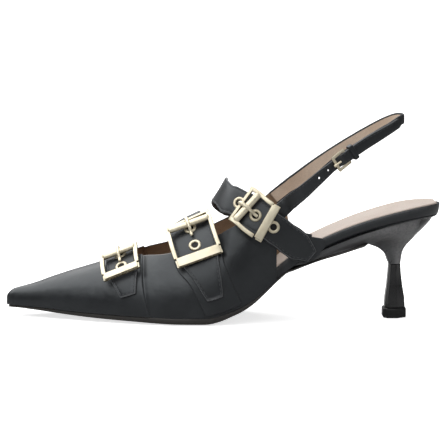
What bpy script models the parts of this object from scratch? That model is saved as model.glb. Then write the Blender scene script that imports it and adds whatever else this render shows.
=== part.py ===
"""A left slingback pump: pointed toe, three buckled straps, flared kitten heel.

Metres. X runs from the toe (-X) to the heel (+X), the outer side of the foot is -Y,
the floor is Z = 0, and the origin is the middle of the flat spot under the ball.
"""

import math

import bmesh
import bpy
import numpy as np
from mathutils import Matrix, Vector

# Main sizes of the shoe.
LENGTH = 0.2635
BALL_WIDTH = 0.0720
INSTEP_HEIGHT = 0.0565
SEAT_RISE = 0.0607
TOE_SPRING = 0.0054
BALL_AT = 0.438

# Thicknesses and clearances.
CLEARANCE = 0.0003
WALL = 0.0016
SEAM_STEP = 0.0008
STRAP_THICKNESS = 0.0015
BASE_THICKNESS = 0.0012
SLING_THICKNESS = 0.0013
SOLE_THICKNESS = 0.0045
SOLE_INSET = 0.0008
SOLE_EDGE_LIFT = 0.0009
SOLE_FLAT_DEPTH = 0.00012
SOLE_THINNEST = 0.0006
BOARD_THICKNESS = 0.0068
BOARD_DRAFT = 0.0018
BOARD_EDGE_ROUND = 0.0005
SOCK_THICKNESS = 0.0009
SOCK_INSET = 0.0011
LIP_DEPTH = 0.0065

# Heel.
STEM_TOP = 0.0328
TOP_PIECE_HEIGHT = 0.0060
TOP_PIECE_PROUD = 0.0011

# Straps, buckles and eyelets.
STRAP_WIDTH = {"front": 0.0166, "middle": 0.0217, "rear": 0.0170}
SLING_WIDTH = 0.0060
EYELET_RADIUS = 0.00345
EYELET_HOLE = 0.0019
EYELET_SPACING = 0.0125
EYELET_HEIGHT = 0.0008
PUNCH_RADIUS = EYELET_HOLE - 0.0002
FRAME_BAR = 0.0025
HINGE_BAR = 0.0017
FRAME_HEIGHT = 0.0019
FRAME_AIR = 0.0012
PLATE_LENGTH = {"front": 0.0048, "middle": 0.0060, "rear": 0.0053}
ROLLER_RADIUS = 0.0011
PRONG_RADIUS = 0.0009
SMALL_FRAME_LENGTH = 0.0095
SMALL_BAR = 0.0014
SMALL_HEIGHT = 0.0012
SMALL_PRONG_RADIUS = 0.0006
KEEPER_LENGTH = 0.0030
KEEPER_WALL = 0.0010

# The last, a row for each station. "at" is a share of LENGTH from the toe. "half" and
# "centre" are the feather line's half width and middle as shares of BALL_WIDTH (plus is
# the inner side), "body" how much wider the last is above it, "crest" its height as a
# share of INSTEP_HEIGHT, "ridge" the crest's place across as a share of BALL_WIDTH, and
# "full" how far its shoulders stand outside an ellipse.
LAST_COLUMNS = ("at", "half", "centre", "body", "crest", "ridge", "full")
LAST = (
    (0.000, 0.055, 0.076, 1.02, 0.155, 0.076, 0.05),
    (0.029, 0.088, 0.072, 1.03, 0.188, 0.074, 0.05),
    (0.070, 0.150, 0.064, 1.04, 0.244, 0.072, 0.05),
    (0.111, 0.206, 0.056, 1.05, 0.322, 0.070, 0.05),
    (0.152, 0.261, 0.046, 1.05, 0.395, 0.068, 0.04),
    (0.194, 0.320, 0.036, 1.05, 0.458, 0.066, 0.03),
    (0.235, 0.368, 0.025, 1.05, 0.522, 0.063, 0.02),
    (0.276, 0.414, 0.012, 1.05, 0.594, 0.060, 0.01),
    (0.316, 0.450, 0.000, 1.05, 0.683, 0.058, 0.00),
    (0.369, 0.484, -0.012, 1.05, 0.830, 0.056, -0.01),
    (0.424, 0.500, -0.021, 1.05, 0.985, 0.056, -0.02),
    (0.461, 0.492, -0.028, 1.05, 1.072, 0.056, -0.02),
    (0.491, 0.474, -0.033, 1.06, 1.222, 0.056, -0.02),
    (0.521, 0.448, -0.036, 1.07, 1.418, 0.050, 0.00),
    (0.563, 0.406, -0.039, 1.10, 1.590, 0.040, 0.00),
    (0.605, 0.365, -0.040, 1.14, 1.600, 0.030, 0.00),
    (0.644, 0.336, -0.037, 1.15, 1.520, 0.020, 0.00),
    (0.686, 0.317, -0.032, 1.12, 1.430, 0.010, 0.00),
    (0.727, 0.310, -0.024, 1.08, 1.360, 0.000, 0.00),
    (0.769, 0.314, -0.015, 1.04, 1.300, 0.000, 0.00),
    (0.810, 0.328, -0.007, 1.00, 1.250, 0.000, 0.00),
    (0.852, 0.342, 0.000, 1.00, 1.200, 0.000, 0.00),
    (0.894, 0.347, 0.000, 1.00, 1.200, 0.000, 0.00),
    (1.000, 0.347, 0.000, 1.00, 1.200, 0.000, 0.00),
)
TOE_ROUND = 0.024
TOE_BLUNT = 0.45
SEAT_ROUND = 0.100
TUCK_FROM = 0.70

# The bottom of the shoe. "spring" and "rise" are shares of TOE_SPRING and SEAT_RISE that
# lift the sole's underside, "sole", "board" and "lip" shares of SOLE_THICKNESS,
# BOARD_THICKNESS and LIP_DEPTH.
BOTTOM_COLUMNS = ("at", "spring", "rise", "sole", "board", "lip")
BOTTOM = (
    (0.000, 1.00, 0.000, 0.34, 0.34, 0.00),
    (0.029, 0.98, 0.000, 0.36, 0.34, 0.00),
    (0.070, 0.85, 0.000, 0.49, 0.34, 0.00),
    (0.152, 0.52, 0.000, 0.64, 0.34, 0.00),
    (0.218, 0.33, 0.000, 0.78, 0.34, 0.00),
    (0.311, 0.17, 0.000, 0.89, 0.34, 0.00),
    (0.357, 0.06, 0.000, 0.97, 0.34, 0.00),
    (0.400, 0.00, 0.000, 1.00, 0.34, 0.00),
    (0.461, 0.00, 0.000, 1.00, 0.34, 0.00),
    (0.498, 0.00, 0.031, 0.93, 0.36, 0.00),
    (0.521, 0.00, 0.072, 0.84, 0.40, 0.00),
    (0.547, 0.00, 0.124, 0.75, 0.50, 0.00),
    (0.572, 0.00, 0.196, 0.62, 0.64, 0.00),
    (0.595, 0.00, 0.287, 0.46, 0.82, 0.00),
    (0.625, 0.00, 0.412, 0.37, 1.00, 0.00),
    (0.644, 0.00, 0.484, 0.36, 1.00, 0.00),
    (0.662, 0.00, 0.538, 0.36, 1.00, 0.22),
    (0.686, 0.00, 0.600, 0.36, 1.00, 0.42),
    (0.727, 0.00, 0.690, 0.36, 1.00, 0.68),
    (0.769, 0.00, 0.770, 0.36, 0.99, 0.93),
    (0.810, 0.00, 0.839, 0.36, 0.98, 1.02),
    (0.852, 0.00, 0.897, 0.36, 0.98, 1.05),
    (0.894, 0.00, 0.946, 0.36, 1.00, 1.05),
    (0.935, 0.00, 0.981, 0.36, 1.03, 1.05),
    (0.970, 0.00, 0.996, 0.36, 1.08, 1.05),
    (1.000, 0.00, 1.000, 0.36, 1.14, 1.05),
)

# The upper's top line on each side: station, and height as a share of the last's own.
THROAT_AT = 0.260
TOPLINE_COLUMNS = ("at", "height")
OUTER_TOPLINE = (
    (0.260, 1.000), (0.276, 0.975), (0.316, 0.900), (0.369, 0.783), (0.424, 0.746),
    (0.461, 0.747), (0.498, 0.673), (0.520, 0.621), (0.542, 0.570), (0.562, 0.490),
    (0.584, 0.375), (0.605, 0.272), (0.625, 0.189),
)
INNER_TOPLINE = (
    (0.260, 1.000), (0.276, 0.990), (0.311, 0.955), (0.366, 0.842), (0.427, 0.789),
    (0.461, 0.787), (0.487, 0.740), (0.517, 0.649), (0.563, 0.571), (0.600, 0.558),
    (0.642, 0.560),
)
OUTER_REAR = 0.624
INNER_REAR = 0.642
INNER_REAR_LEAN = 0.028
LEAN_FROM = 0.520
SEAM_AT = 0.318
SEAM_LEAN = 0.019
SEAM_HALF = 0.0011
SEAM_LEANS_FROM = 0.279

# Stations of the upper's grid in front of the throat, and behind it.
TOE_STATIONS = (
    0.000, 0.012, 0.029, 0.048, 0.070, 0.095, 0.122, 0.150, 0.178, 0.206, 0.233, 0.250,
)
THROAT_STATIONS = (0.2625, 0.266, 0.271, 0.279, 0.291, 0.304)
QUARTER_STATIONS = (
    0.332, 0.350, 0.370, 0.392, 0.415, 0.438, 0.461, 0.484, 0.505, 0.524, 0.542, 0.562,
    0.583, 0.604,
)
UPPER_ROWS = 9

# Middle lines of the straps on the last: "girth" runs from the inner feather line (-1)
# over the crest (0) to the outer one (+1).
ROUTE_COLUMNS = ("girth", "at")
FRONT_ROUTE = (
    (-0.93, 0.283), (-0.50, 0.266), (0.00, 0.2648), (0.13, 0.2685), (0.42, 0.2735),
    (0.565, 0.2795), (0.786, 0.2895),
)
MIDDLE_ROUTE = (
    (-0.95, 0.470), (-0.50, 0.438), (0.00, 0.4150), (0.25, 0.4280), (0.49, 0.4410),
    (0.654, 0.4562), (0.78, 0.4705), (0.92, 0.4865),
)
REAR_ROUTE = (
    (-0.74, 0.582), (-0.64, 0.560), (-0.55, 0.537), (-0.42, 0.512), (-0.24, 0.498),
    (0.00, 0.4960), (0.24, 0.5055), (0.407, 0.5230), (0.509, 0.5430), (0.631, 0.5745),
    (0.764, 0.6175), (0.873, 0.6550), (0.970, 0.6915), (1.020, 0.7090),
)
REAR_BASE_ROUTE = (
    (0.560, 0.5550), (0.631, 0.5750), (0.764, 0.6175), (0.873, 0.6560), (0.945, 0.6880),
    (0.967, 0.7070), (0.978, 0.7320),
)

# The middle strap's base, from under its buckle down to the sole: the stations of its
# front and rear edges at places round the last.
MIDDLE_BASE_COLUMNS = ("girth", "front", "rear")
MIDDLE_BASE = (
    (0.520, 0.3920, 0.4890), (0.560, 0.3925, 0.4930), (0.660, 0.4040, 0.5000),
    (0.770, 0.4275, 0.5095), (0.880, 0.4468, 0.5255), (0.985, 0.4635, 0.5450),
)
MIDDLE_BASE_STEPS = 12


def clear_scene():
    for old in list(bpy.data.objects):
        bpy.data.objects.remove(old, do_unlink=True)


def collection(name):
    made = bpy.data.collections.new(name)
    bpy.context.scene.collection.children.link(made)
    return made


clear_scene()
SHOE = collection("slingback_pump")
CUTTERS = collection("cutters")


def material(name, colour, roughness, metallic=0.0):
    made = bpy.data.materials.new(name)
    made.use_nodes = True
    shader = made.node_tree.nodes["Principled BSDF"]
    shader.inputs["Base Color"].default_value = (*colour, 1.0)
    shader.inputs["Roughness"].default_value = roughness
    shader.inputs["Metallic"].default_value = metallic
    made.diffuse_color = (*colour, 1.0)
    return made


LEATHER = (0.018, 0.020, 0.024)
GOLD = (0.83, 0.71, 0.45)
FINISH = {
    "leather": (LEATHER, 0.42, 0.0),
    "sole": ((0.075, 0.060, 0.045), 0.55, 0.0),
    "sock": ((0.72, 0.56, 0.48), 0.60, 0.0),
    "board": (LEATHER, 0.45, 0.0),
    "heel": ((0.016, 0.017, 0.020), 0.30, 0.0),
    "lacquer": ((0.008, 0.008, 0.010), 0.12, 0.0),
    "rubber": ((0.012, 0.012, 0.013), 0.60, 0.0),
    "gold": (GOLD, 0.30, 1.0),
}


def mesh_object(name, mesh, finish, place=None):
    made = bpy.data.objects.new(name, mesh)
    colour, roughness, metallic = FINISH[finish]
    mesh.materials.append(material(name, colour, roughness, metallic))
    if place is not None:
        made.matrix_world = place
    SHOE.objects.link(made)
    return made


def smooth_curve(rows, columns):
    """Returns a function that reads each named column at a place in the first one.

    A cubic runs through the rows, and no cubic swings past its own two rows.
    """
    table = np.array(rows, float)
    place = table[:, 0]
    gaps = np.diff(place)
    rates = np.diff(table, axis=0) / gaps[:, None]
    slopes = np.zeros_like(table)
    slopes[0], slopes[-1] = rates[0], rates[-1]
    for i in range(1, len(table) - 1):
        both = rates[i - 1] * rates[i]
        weight = (rates[i - 1] * gaps[i] + rates[i] * gaps[i - 1]) / (gaps[i] + gaps[i - 1])
        most = 3 * np.minimum(np.abs(rates[i - 1]), np.abs(rates[i]))
        slopes[i] = np.where(both > 0, np.clip(weight, -most, most), 0.0)

    def read(at, column=columns[1]):
        k = columns.index(column)
        i = int(np.clip(np.searchsorted(place, at) - 1, 0, len(gaps) - 1))
        t = float(np.clip((at - place[i]) / gaps[i], 0.0, 1.0))
        a, b = table[i, k], table[i + 1, k]
        ma, mb = slopes[i, k] * gaps[i], slopes[i + 1, k] * gaps[i]
        low = (2 * t**3 - 3 * t**2 + 1) * a + (t**3 - 2 * t**2 + t) * ma
        return low + (-2 * t**3 + 3 * t**2) * b + (t**3 - t**2) * mb

    return read


def ease(t):
    t = min(max(t, 0.0), 1.0)
    return t * t * (3 - 2 * t)


last_at = smooth_curve(LAST, LAST_COLUMNS)
bottom_at = smooth_curve(BOTTOM, BOTTOM_COLUMNS)
outer_topline = smooth_curve(OUTER_TOPLINE, TOPLINE_COLUMNS)
inner_topline = smooth_curve(INNER_TOPLINE, TOPLINE_COLUMNS)


def station_x(at):
    return (at - BALL_AT) * LENGTH


def tip_round(at):
    """1 along the shoe, falling to 0 at the toe's tip as a quarter ellipse."""
    return math.sqrt(max(0.0, 1 - max(0.0, 1 - at / TOE_ROUND) ** 2))


def seat_round(at):
    """1 along the shoe, falling to 0 at the back of the seat as a quarter ellipse."""
    return math.sqrt(max(0.0, 1 - max(0.0, (at - 1 + SEAT_ROUND) / SEAT_ROUND) ** 2))


def half_width(at):
    return last_at(at, "half") * BALL_WIDTH * tip_round(at) * seat_round(at)


def middle_y(at):
    return last_at(at, "centre") * BALL_WIDTH


def under_z(at):
    """Height of the underside of the forepart, and of the line that it follows behind."""
    return bottom_at(at, "spring") * TOE_SPRING + bottom_at(at, "rise") * SEAT_RISE


def feather_z(at):
    """Height of the line where upper, sole and insole board meet."""
    return under_z(at) + bottom_at(at, "sole") * SOLE_THICKNESS


def lip_depth(at):
    return bottom_at(at, "lip") * LIP_DEPTH


def board_top(at):
    return feather_z(at) + bottom_at(at, "board") * BOARD_THICKNESS


def last_height(at):
    blunt = TOE_BLUNT + (1 - TOE_BLUNT) * tip_round(at)
    return last_at(at, "crest") * INSTEP_HEIGHT * blunt


def shoulder(angle, at):
    return 1 + last_at(at, "full") * math.sin(2 * angle) ** 2


def last_point(at, girth):
    """Point of the upper's outer surface at a station and a girth from -1 to +1."""
    angle = girth * math.pi / 2
    swell = (last_at(at, "body") - 1) * (1 - ease((abs(girth) - TUCK_FROM) / (1 - TUCK_FROM)))
    middle = middle_y(at) + (last_at(at, "ridge") * BALL_WIDTH - middle_y(at)) * math.cos(angle)
    wide = half_width(at) * (1 + swell) * shoulder(angle, at)
    return np.array((
        station_x(at),
        middle - wide * math.sin(angle),
        feather_z(at) + last_height(at) * math.cos(angle) * shoulder(angle, at),
    ))


def last_slopes(at, girth):
    step = 0.0005
    along = (last_point(at + step, girth) - last_point(at - step, girth)) / (2 * step)
    round_it = (last_point(at, girth + step) - last_point(at, girth - step)) / (2 * step)
    return along, round_it


def unit(v):
    return v / np.linalg.norm(v)


def last_normal(at, girth):
    along, round_it = last_slopes(at, girth)
    return unit(np.cross(round_it, along))


def lifted(at, girth, lift):
    return last_point(at, girth) + last_normal(at, girth) * lift


def girth_of_height(at, share):
    """The girth, from the crest down, where the last is this share of its height."""
    low, high = 0.0, 1.0
    for _ in range(40):
        mid = (low + high) / 2
        angle = mid * math.pi / 2
        if math.cos(angle) * shoulder(angle, at) > share:
            low = mid
        else:
            high = mid
    return (low + high) / 2


def solidify(made, thickness, offset):
    shell = made.modifiers.new("wall", "SOLIDIFY")
    shell.thickness = thickness
    shell.offset = offset
    shell.use_even_offset = True
    shell.thickness_clamp = 1.0
    return shell


def grid_mesh(name, points):
    """A sheet of faces from rows of points."""
    rows, columns = len(points), len(points[0])
    flat = [tuple(p) for row in points for p in row]
    faces = [
        (i * columns + j, (i + 1) * columns + j, (i + 1) * columns + j + 1, i * columns + j + 1)
        for i in range(rows - 1)
        for j in range(columns - 1)
    ]
    made = bpy.data.meshes.new(name)
    made.from_pydata(flat, [], faces)
    return made


def loft(name, rings, finish):
    """A closed solid through rings of the same number of points, with flat ends."""
    count = len(rings[0])
    flat = [tuple(p) for ring in rings for p in ring]
    faces = [
        (i * count + j, i * count + (j + 1) % count,
         (i + 1) * count + (j + 1) % count, (i + 1) * count + j)
        for i in range(len(rings) - 1)
        for j in range(count)
    ]
    faces.append(tuple(reversed(range(count))))
    faces.append(tuple((len(rings) - 1) * count + j for j in range(count)))
    made = bpy.data.meshes.new(name)
    made.from_pydata(flat, [], faces)
    cage = bmesh.new()
    cage.from_mesh(made)
    bmesh.ops.recalc_face_normals(cage, faces=cage.faces)
    cage.to_mesh(made)
    cage.free()
    return mesh_object(name, made, finish)


# Upper.


def seam_step(at, seam):
    """The panels behind the seam lie one leather's thickness below the toe's vamp."""
    return 0.0 if at < seam else -SEAM_STEP


def upper_column(base, rear, lean, side, topline, row_lift):
    """One column of the upper's surface, from the feather line up to its top edge."""
    column = []
    for j in range(UPPER_ROWS + 1):
        up = j / UPPER_ROWS
        ramp = ease((base - LEAN_FROM) / (rear - LEAN_FROM))
        at = base + lean * ramp * (1 - up)
        seam_reach = max(0.0, 1 - abs(base - SEAM_AT) / (SEAM_AT - SEAM_LEANS_FROM))
        at += SEAM_LEAN * seam_reach * (1 - up) ** 3
        top = 0.0 if base <= THROAT_AT else girth_of_height(base, topline(base))
        girth = side * (1 + (top - 1) * up)
        if base < TOE_ROUND / 4:
            column.append(last_point(at, girth))
        else:
            column.append(lifted(at, girth, row_lift))
    return column


def make_upper():
    seam = (SEAM_AT - SEAM_HALF, SEAM_AT + SEAM_HALF)
    behind = THROAT_STATIONS + seam + QUARTER_STATIONS
    cage = bmesh.new()
    for side, rear, lean, topline in (
        (+1, OUTER_REAR, 0.0, outer_topline),
        (-1, INNER_REAR, INNER_REAR_LEAN, inner_topline),
    ):
        last_one = QUARTER_STATIONS[-1]
        ends = (rear,) if side > 0 else ((last_one + rear) / 2, rear)
        bases = TOE_STATIONS + (THROAT_AT,) + behind + ends
        columns = []
        for base in bases:
            lift = seam_step(base, SEAM_AT)
            columns.append([
                cage.verts.new(p)
                for p in upper_column(base, rear, lean, side, topline, lift)
            ])
        for a, b in zip(columns, columns[1:]):
            for j in range(UPPER_ROWS):
                ring = (a[j], b[j], b[j + 1], a[j + 1])
                cage.faces.new(ring if side > 0 else ring[::-1])
    bmesh.ops.remove_doubles(cage, verts=cage.verts, dist=0.00001)
    bmesh.ops.recalc_face_normals(cage, faces=cage.faces)
    # The outer surface faces away from the foot.
    cage.faces.ensure_lookup_table()
    crest = max(cage.faces, key=lambda f: -f.calc_center_median().x)
    if crest.normal.x > 0:
        bmesh.ops.reverse_faces(cage, faces=cage.faces)
    made = bpy.data.meshes.new("upper")
    cage.to_mesh(made)
    cage.free()
    upper = mesh_object("upper", made, "leather")
    solidify(upper, WALL, -1)
    return upper


# Sole, insole board and sock.


def slab_rings(stations, sides, across, top, bottom):
    """Rings round a flat piece: each goes over the top from -1 to +1 and back under it."""
    rings = []
    for at in stations:
        outer, inner = sides(at)
        over, under = [], []
        for share in across:
            y = outer + (inner - outer) * (share + 1) / 2
            over.append((station_x(at), y, top(at, share)))
            under.append((station_x(at), y, bottom(at, share)))
        rings.append(over + under[::-1])
    return rings


def sides_inset(inset):
    def sides(at):
        half = max(half_width(at) - inset(at), NARROWEST / 2)
        return middle_y(at) - half, middle_y(at) + half

    return sides


SOLE_END = 0.822
SOLE_STATIONS = (
    0.006, 0.014, 0.029, 0.050, 0.080, 0.115, 0.152, 0.194, 0.235, 0.276, 0.316, 0.345,
    0.372, 0.400, 0.419, 0.438, 0.457, 0.476, 0.498, 0.521, 0.545, 0.570, 0.595, 0.620,
    0.644, 0.665, 0.690, 0.727, 0.769, 0.800, SOLE_END,
)
SOLE_ACROSS = (-1.0, -0.94, -0.75, -0.5, -0.25, 0.0, 0.25, 0.5, 0.75, 0.94, 1.0)


def make_outsole():
    def top(at, share):
        return feather_z(at) - lip_depth(at) - CLEARANCE

    def bottom(at, share):
        edge = SOLE_EDGE_LIFT * abs(share) ** 4 * min(1.0, bottom_at(at, "sole"))
        low = under_z(at) - lip_depth(at) + edge - SOLE_FLAT_DEPTH
        return max(0.0, min(low, top(at, share) - SOLE_THINNEST))

    sides = sides_inset(lambda at: SOLE_INSET)
    return loft("outsole", slab_rings(SOLE_STATIONS, sides, SOLE_ACROSS, top, bottom), "sole")


REAR_CLEAR = 0.003
REAR_EASE = 0.020
NARROWEST = 0.0024
BOARD_STATIONS = (
    0.036, 0.052, 0.080, 0.115, 0.152, 0.194, 0.235, 0.276, 0.316, 0.357, 0.400, 0.438,
    0.476, 0.498, 0.521, 0.545, 0.570, 0.595, 0.612, 0.625, 0.636, 0.648, 0.660, 0.672,
    0.682, 0.694, 0.727, 0.769, 0.810, 0.852, 0.894, 0.920, 0.940, 0.958, 0.973, 0.985,
    0.993, 0.998,
)
BOARD_ACROSS = (-1.0, -0.66, -0.33, 0.0, 0.33, 0.66, 1.0)


def board_inset(at, rear):
    """Inside the upper the board clears its wall. Behind it the board is as wide as the last."""
    toe = 1 + 0.6 * (1 - ease(at / 0.11))
    hidden = 1 - ease((at - rear) / REAR_EASE)
    return hidden * toe * (WALL + SEAM_STEP + CLEARANCE * 2)


def board_sides(at, inset=0.0):
    outer = board_inset(at, OUTER_REAR + REAR_CLEAR) + inset
    inner = board_inset(at, INNER_REAR + INNER_REAR_LEAN + REAR_CLEAR) + inset
    half = half_width(at)
    room = 2 * half - outer - inner
    if room < NARROWEST:
        return middle_y(at) - NARROWEST / 2, middle_y(at) + NARROWEST / 2
    return middle_y(at) - half + outer, middle_y(at) + half - inner


def board_draft(at):
    return BOARD_DRAFT * ease((at - INNER_REAR) / (1 - INNER_REAR) * 3)


def make_board():
    rings = []
    for at in BOARD_STATIONS:
        outer, inner = board_sides(at)
        draft = min(board_draft(at), 0.4 * (inner - outer))
        edge = min(BOARD_EDGE_ROUND, 0.2 * (inner - outer))
        low, high = feather_z(at), board_top(at)
        tail = ease((at - 0.9) / 0.1) * board_draft(1.0)
        ring = [(station_x(at), outer + (inner - outer) * (s + 1) / 2, high)
                for s in BOARD_ACROSS[1:-1]]
        ring = [(station_x(at), outer + edge, high)] + ring + [(station_x(at), inner - edge, high)]
        ring += [(station_x(at), inner, high - BOARD_EDGE_ROUND * 2)]
        ring += [(station_x(at) - tail * 0.3, inner - draft * 0.25, (low + high) / 2)]
        ring += [(station_x(at) - tail, inner - draft, low)]
        ring += [(station_x(at) - tail, outer + (inner - outer) * (s + 1) / 2, low)
                 for s in (0.5, 0.0, -0.5)]
        ring += [(station_x(at) - tail, outer + draft, low)]
        ring += [(station_x(at) - tail * 0.3, outer + draft * 0.25, (low + high) / 2)]
        ring += [(station_x(at), outer, high - BOARD_EDGE_ROUND * 2)]
        rings.append(ring)
    return loft("insole_board", rings, "board")


def make_sock():
    def top(at, share):
        return board_top(at) + CLEARANCE + SOCK_THICKNESS

    def bottom(at, share):
        return board_top(at) + CLEARANCE

    def sides(at):
        return board_sides(at, SOCK_INSET)

    stations = [at for at in BOARD_STATIONS[1:] if at < 0.99]
    rings = slab_rings(stations, sides, (-1.0, -0.5, 0.0, 0.5, 1.0), top, bottom)
    return loft("sock_lining", rings, "sock")


# Heel. A row for each section from the seat down: the stations of its front and back as
# shares of LENGTH, their heights as shares of the way from the stem up to the seat, its
# half width as a share of BALL_WIDTH, and how much of the seat's bow it keeps. The front
# of the first LIP_ROWS rows lies on the outsole.
HEEL_ROWS = (
    (0.664, 0.000, 0.9860, 1.000, 0.322, 1.00),
    (0.686, 0.000, 0.9790, 0.917, 0.310, 0.86),
    (0.727, 0.000, 0.9720, 0.843, 0.288, 0.68),
    (0.769, 0.000, 0.9600, 0.726, 0.250, 0.48),
    (0.796, 0.000, 0.9530, 0.663, 0.228, 0.38),
    (0.822, 0.000, 0.9460, 0.600, 0.205, 0.28),
    (0.8420, 0.420, 0.9345, 0.490, 0.155, 0.12),
    (0.8600, 0.336, 0.9225, 0.365, 0.118, 0.04),
    (0.8750, 0.200, 0.9150, 0.230, 0.097, 0.00),
    (0.8835, 0.000, 0.9110, 0.000, 0.089, 0.00),
)
HEEL_SHARES = (0.0, 0.06, 0.16, 0.30, 0.46, 0.62, 0.76, 0.88, 0.96, 1.0)
LIP_ROWS = 6
WIDE_ROW = 3
CUP_ROUND = 0.45
# How wide the cup's back is as a share of its side, beside the seat and down the neck.
BACK_WIDTH = {"seat": 0.12, "neck": 0.30}
BACK_POWER = 2.3
HEEL_PAST_SOLE = 0.006


def neck_height(share):
    neck = STEM_TOP + CLEARANCE
    return neck + (feather_z(1.0) - neck) * share


def seat_hump(at):
    """How far the seat line stands above its own chord."""
    front, back = HEEL_ROWS[0][0], HEEL_ROWS[0][2]
    share = (at - front) / (back - front)
    return feather_z(at) - feather_z(front) - (feather_z(back) - feather_z(front)) * share


def heel_ring(row, k):
    front, front_z, back, back_z, half, bow = row
    low = feather_z(front) - lip_depth(front) if k < LIP_ROWS else neck_height(front_z)
    high = neck_height(back_z)
    side = []
    for share in HEEL_SHARES:
        at = front + (back - front) * share
        hump = seat_hump(at) - seat_hump(front) * (1 - share) - seat_hump(back) * share
        z = low + (high - low) * share + bow * hump
        if at <= SOLE_END + HEEL_PAST_SOLE:
            z = max(z, feather_z(at) - lip_depth(at))
        if k == 0:
            z = feather_z(at) - CLEARANCE
        full = half_width(min(at, 1 - SEAT_ROUND)) - board_draft(at) - CLEARANCE
        keep = 1 - ease(share / (1 - CUP_ROUND))
        share_of_wide = min(1.0, half / HEEL_ROWS[WIDE_ROW][4])
        wide = full * keep * share_of_wide + half * BALL_WIDTH * (1 - keep)
        back_share = max(0.0, (share - 1 + CUP_ROUND) / CUP_ROUND)
        flat = BACK_WIDTH["seat" if k < LIP_ROWS else "neck"]
        y = wide * (flat + (1 - flat) * math.sqrt(1 - back_share**BACK_POWER))
        side.append((station_x(at), y, z, middle_y(at)))
    ring = [(x, m - y, z) for x, y, z, m in side]
    ring += [(x, m + y, z) for x, y, z, m in reversed(side)]
    return ring


def make_heel_block():
    return loft("heel_block", [heel_ring(row, k) for k, row in enumerate(HEEL_ROWS)], "heel")


# Stem sections from the neck down: front and back stations, height as a share of
# STEM_TOP, half width as a share of BALL_WIDTH.
STEM_ROWS = (
    (0.8840, 0.9110, 1.00, 0.0850),
    (0.8825, 0.9125, 0.78, 0.0835),
    (0.8800, 0.9160, 0.50, 0.0875),
    (0.8765, 0.9205, 0.24, 0.0950),
    (0.8752, 0.9220, 0.00, 0.0980),
)
# The stem's facets: share from front to back, and share of the half width.
STEM_FACETS = ((0.0, 0.55), (0.16, 1.0), (0.60, 1.0), (1.0, 0.42))


def facet_ring(front, back, z, half, proud=0.0):
    side = []
    for share, wide in STEM_FACETS:
        x = station_x(front) - proud + (station_x(back) - station_x(front) + proud * 1.6) * share
        side.append((x, half * wide + proud, z))
    return [(x, -y, z) for x, y, z in side] + [(x, y, z) for x, y, z in reversed(side)]


def stem_height(share):
    low = TOP_PIECE_HEIGHT + CLEARANCE
    return low + (STEM_TOP - low) * share


def make_heel_stem():
    rings = [
        facet_ring(front, back, stem_height(high), half * BALL_WIDTH)
        for front, back, high, half in STEM_ROWS
    ]
    return loft("heel_stem", rings, "lacquer")


def make_top_piece():
    front, back, _, half = STEM_ROWS[-1]
    rings = [
        facet_ring(front, back, TOP_PIECE_HEIGHT * share, half * BALL_WIDTH, proud)
        for share, proud in (
            (1.0, TOP_PIECE_PROUD * 0.6),
            (0.9, TOP_PIECE_PROUD),
            (0.1, TOP_PIECE_PROUD),
            (0.0, TOP_PIECE_PROUD * 0.6),
        )
    ]
    return loft("heel_top_piece", rings, "rubber")


# Straps lie on routes: a route gives points and a frame at a way along it.


class LastRoute:
    """A middle line drawn on the last. Bands on it follow the last's own surface."""

    def __init__(self, rows):
        read = smooth_curve(rows, ROUTE_COLUMNS)
        self.girths = np.linspace(rows[0][0], rows[-1][0], 160)
        self.stations = np.array([read(girth) for girth in self.girths])
        points = [last_point(at, girth) for at, girth in zip(self.stations, self.girths)]
        steps = np.linalg.norm(np.diff(np.array(points), axis=0), axis=1)
        self.ways = np.concatenate([[0.0], np.cumsum(steps)])
        self.length = float(self.ways[-1])

    def way_of(self, girth):
        return float(np.interp(girth, self.girths, self.ways))

    def middle(self, way):
        at = float(np.interp(way, self.ways, self.stations))
        girth = float(np.interp(way, self.ways, self.girths))
        return at, girth

    def frame(self, way):
        """Along, across (plus is towards the heel) and out, at the middle line."""
        step = 0.0004
        before, after = self.middle(way - step), self.middle(way + step)
        along = unit(last_point(*after) - last_point(*before))
        out = last_normal(*self.middle(way))
        return along, unit(np.cross(out, along)), out

    def at(self, way, aside, lift):
        at, girth = self.middle(way)
        over = way - min(max(way, 0.0), self.length)
        along, across, out = self.frame(min(max(way, 0.0), self.length))
        move = across * aside + along * over
        by_station, by_girth = last_slopes(at, girth)
        slopes = np.column_stack([by_station, by_girth])
        shift = np.linalg.lstsq(slopes, move, rcond=None)[0]
        return lifted(at + shift[0], girth + shift[1], lift)


class FreeRoute:
    """A middle line in space, for a strap that stands by itself."""

    def __init__(self, points):
        points = np.array(points, float)
        count = len(points)
        rows = [(k, *p) for k, p in enumerate(points)]
        self.read = smooth_curve(rows, ("k", "x", "y", "z"))
        self.steps = np.linspace(0, count - 1, 40 * (count - 1) + 1)
        self.points = np.array([[self.read(k, c) for c in "xyz"] for k in self.steps])
        for _ in range(60):
            self.points[1:-1] = (self.points[:-2] + 2 * self.points[1:-1] + self.points[2:]) / 4
        steps = np.linalg.norm(np.diff(self.points, axis=0), axis=1)
        self.ways = np.concatenate([[0.0], np.cumsum(steps)])
        self.length = float(self.ways[-1])

    def middle(self, way):
        return np.array([np.interp(way, self.ways, self.points[:, c]) for c in range(3)])

    def way_of_x(self, x):
        """The first way along at which the line reaches x, or its own furthest place."""
        along = self.points[:, 0]
        return float(self.ways[np.nonzero(along >= min(x, along.max()))[0][0]])

    def frame(self, way):
        step = 0.0012
        low, high = max(way - step, 0.0), min(way + step, self.length)
        along = unit(self.middle(high) - self.middle(low))
        out = unit(np.cross(along, (0.0, 0.0, 1.0)))
        return along, np.cross(out, along), out

    def at(self, way, aside, lift):
        along, across, out = self.frame(way)
        over = way - min(max(way, 0.0), self.length)
        return self.middle(way) + along * over + across * aside + out * lift


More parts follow.
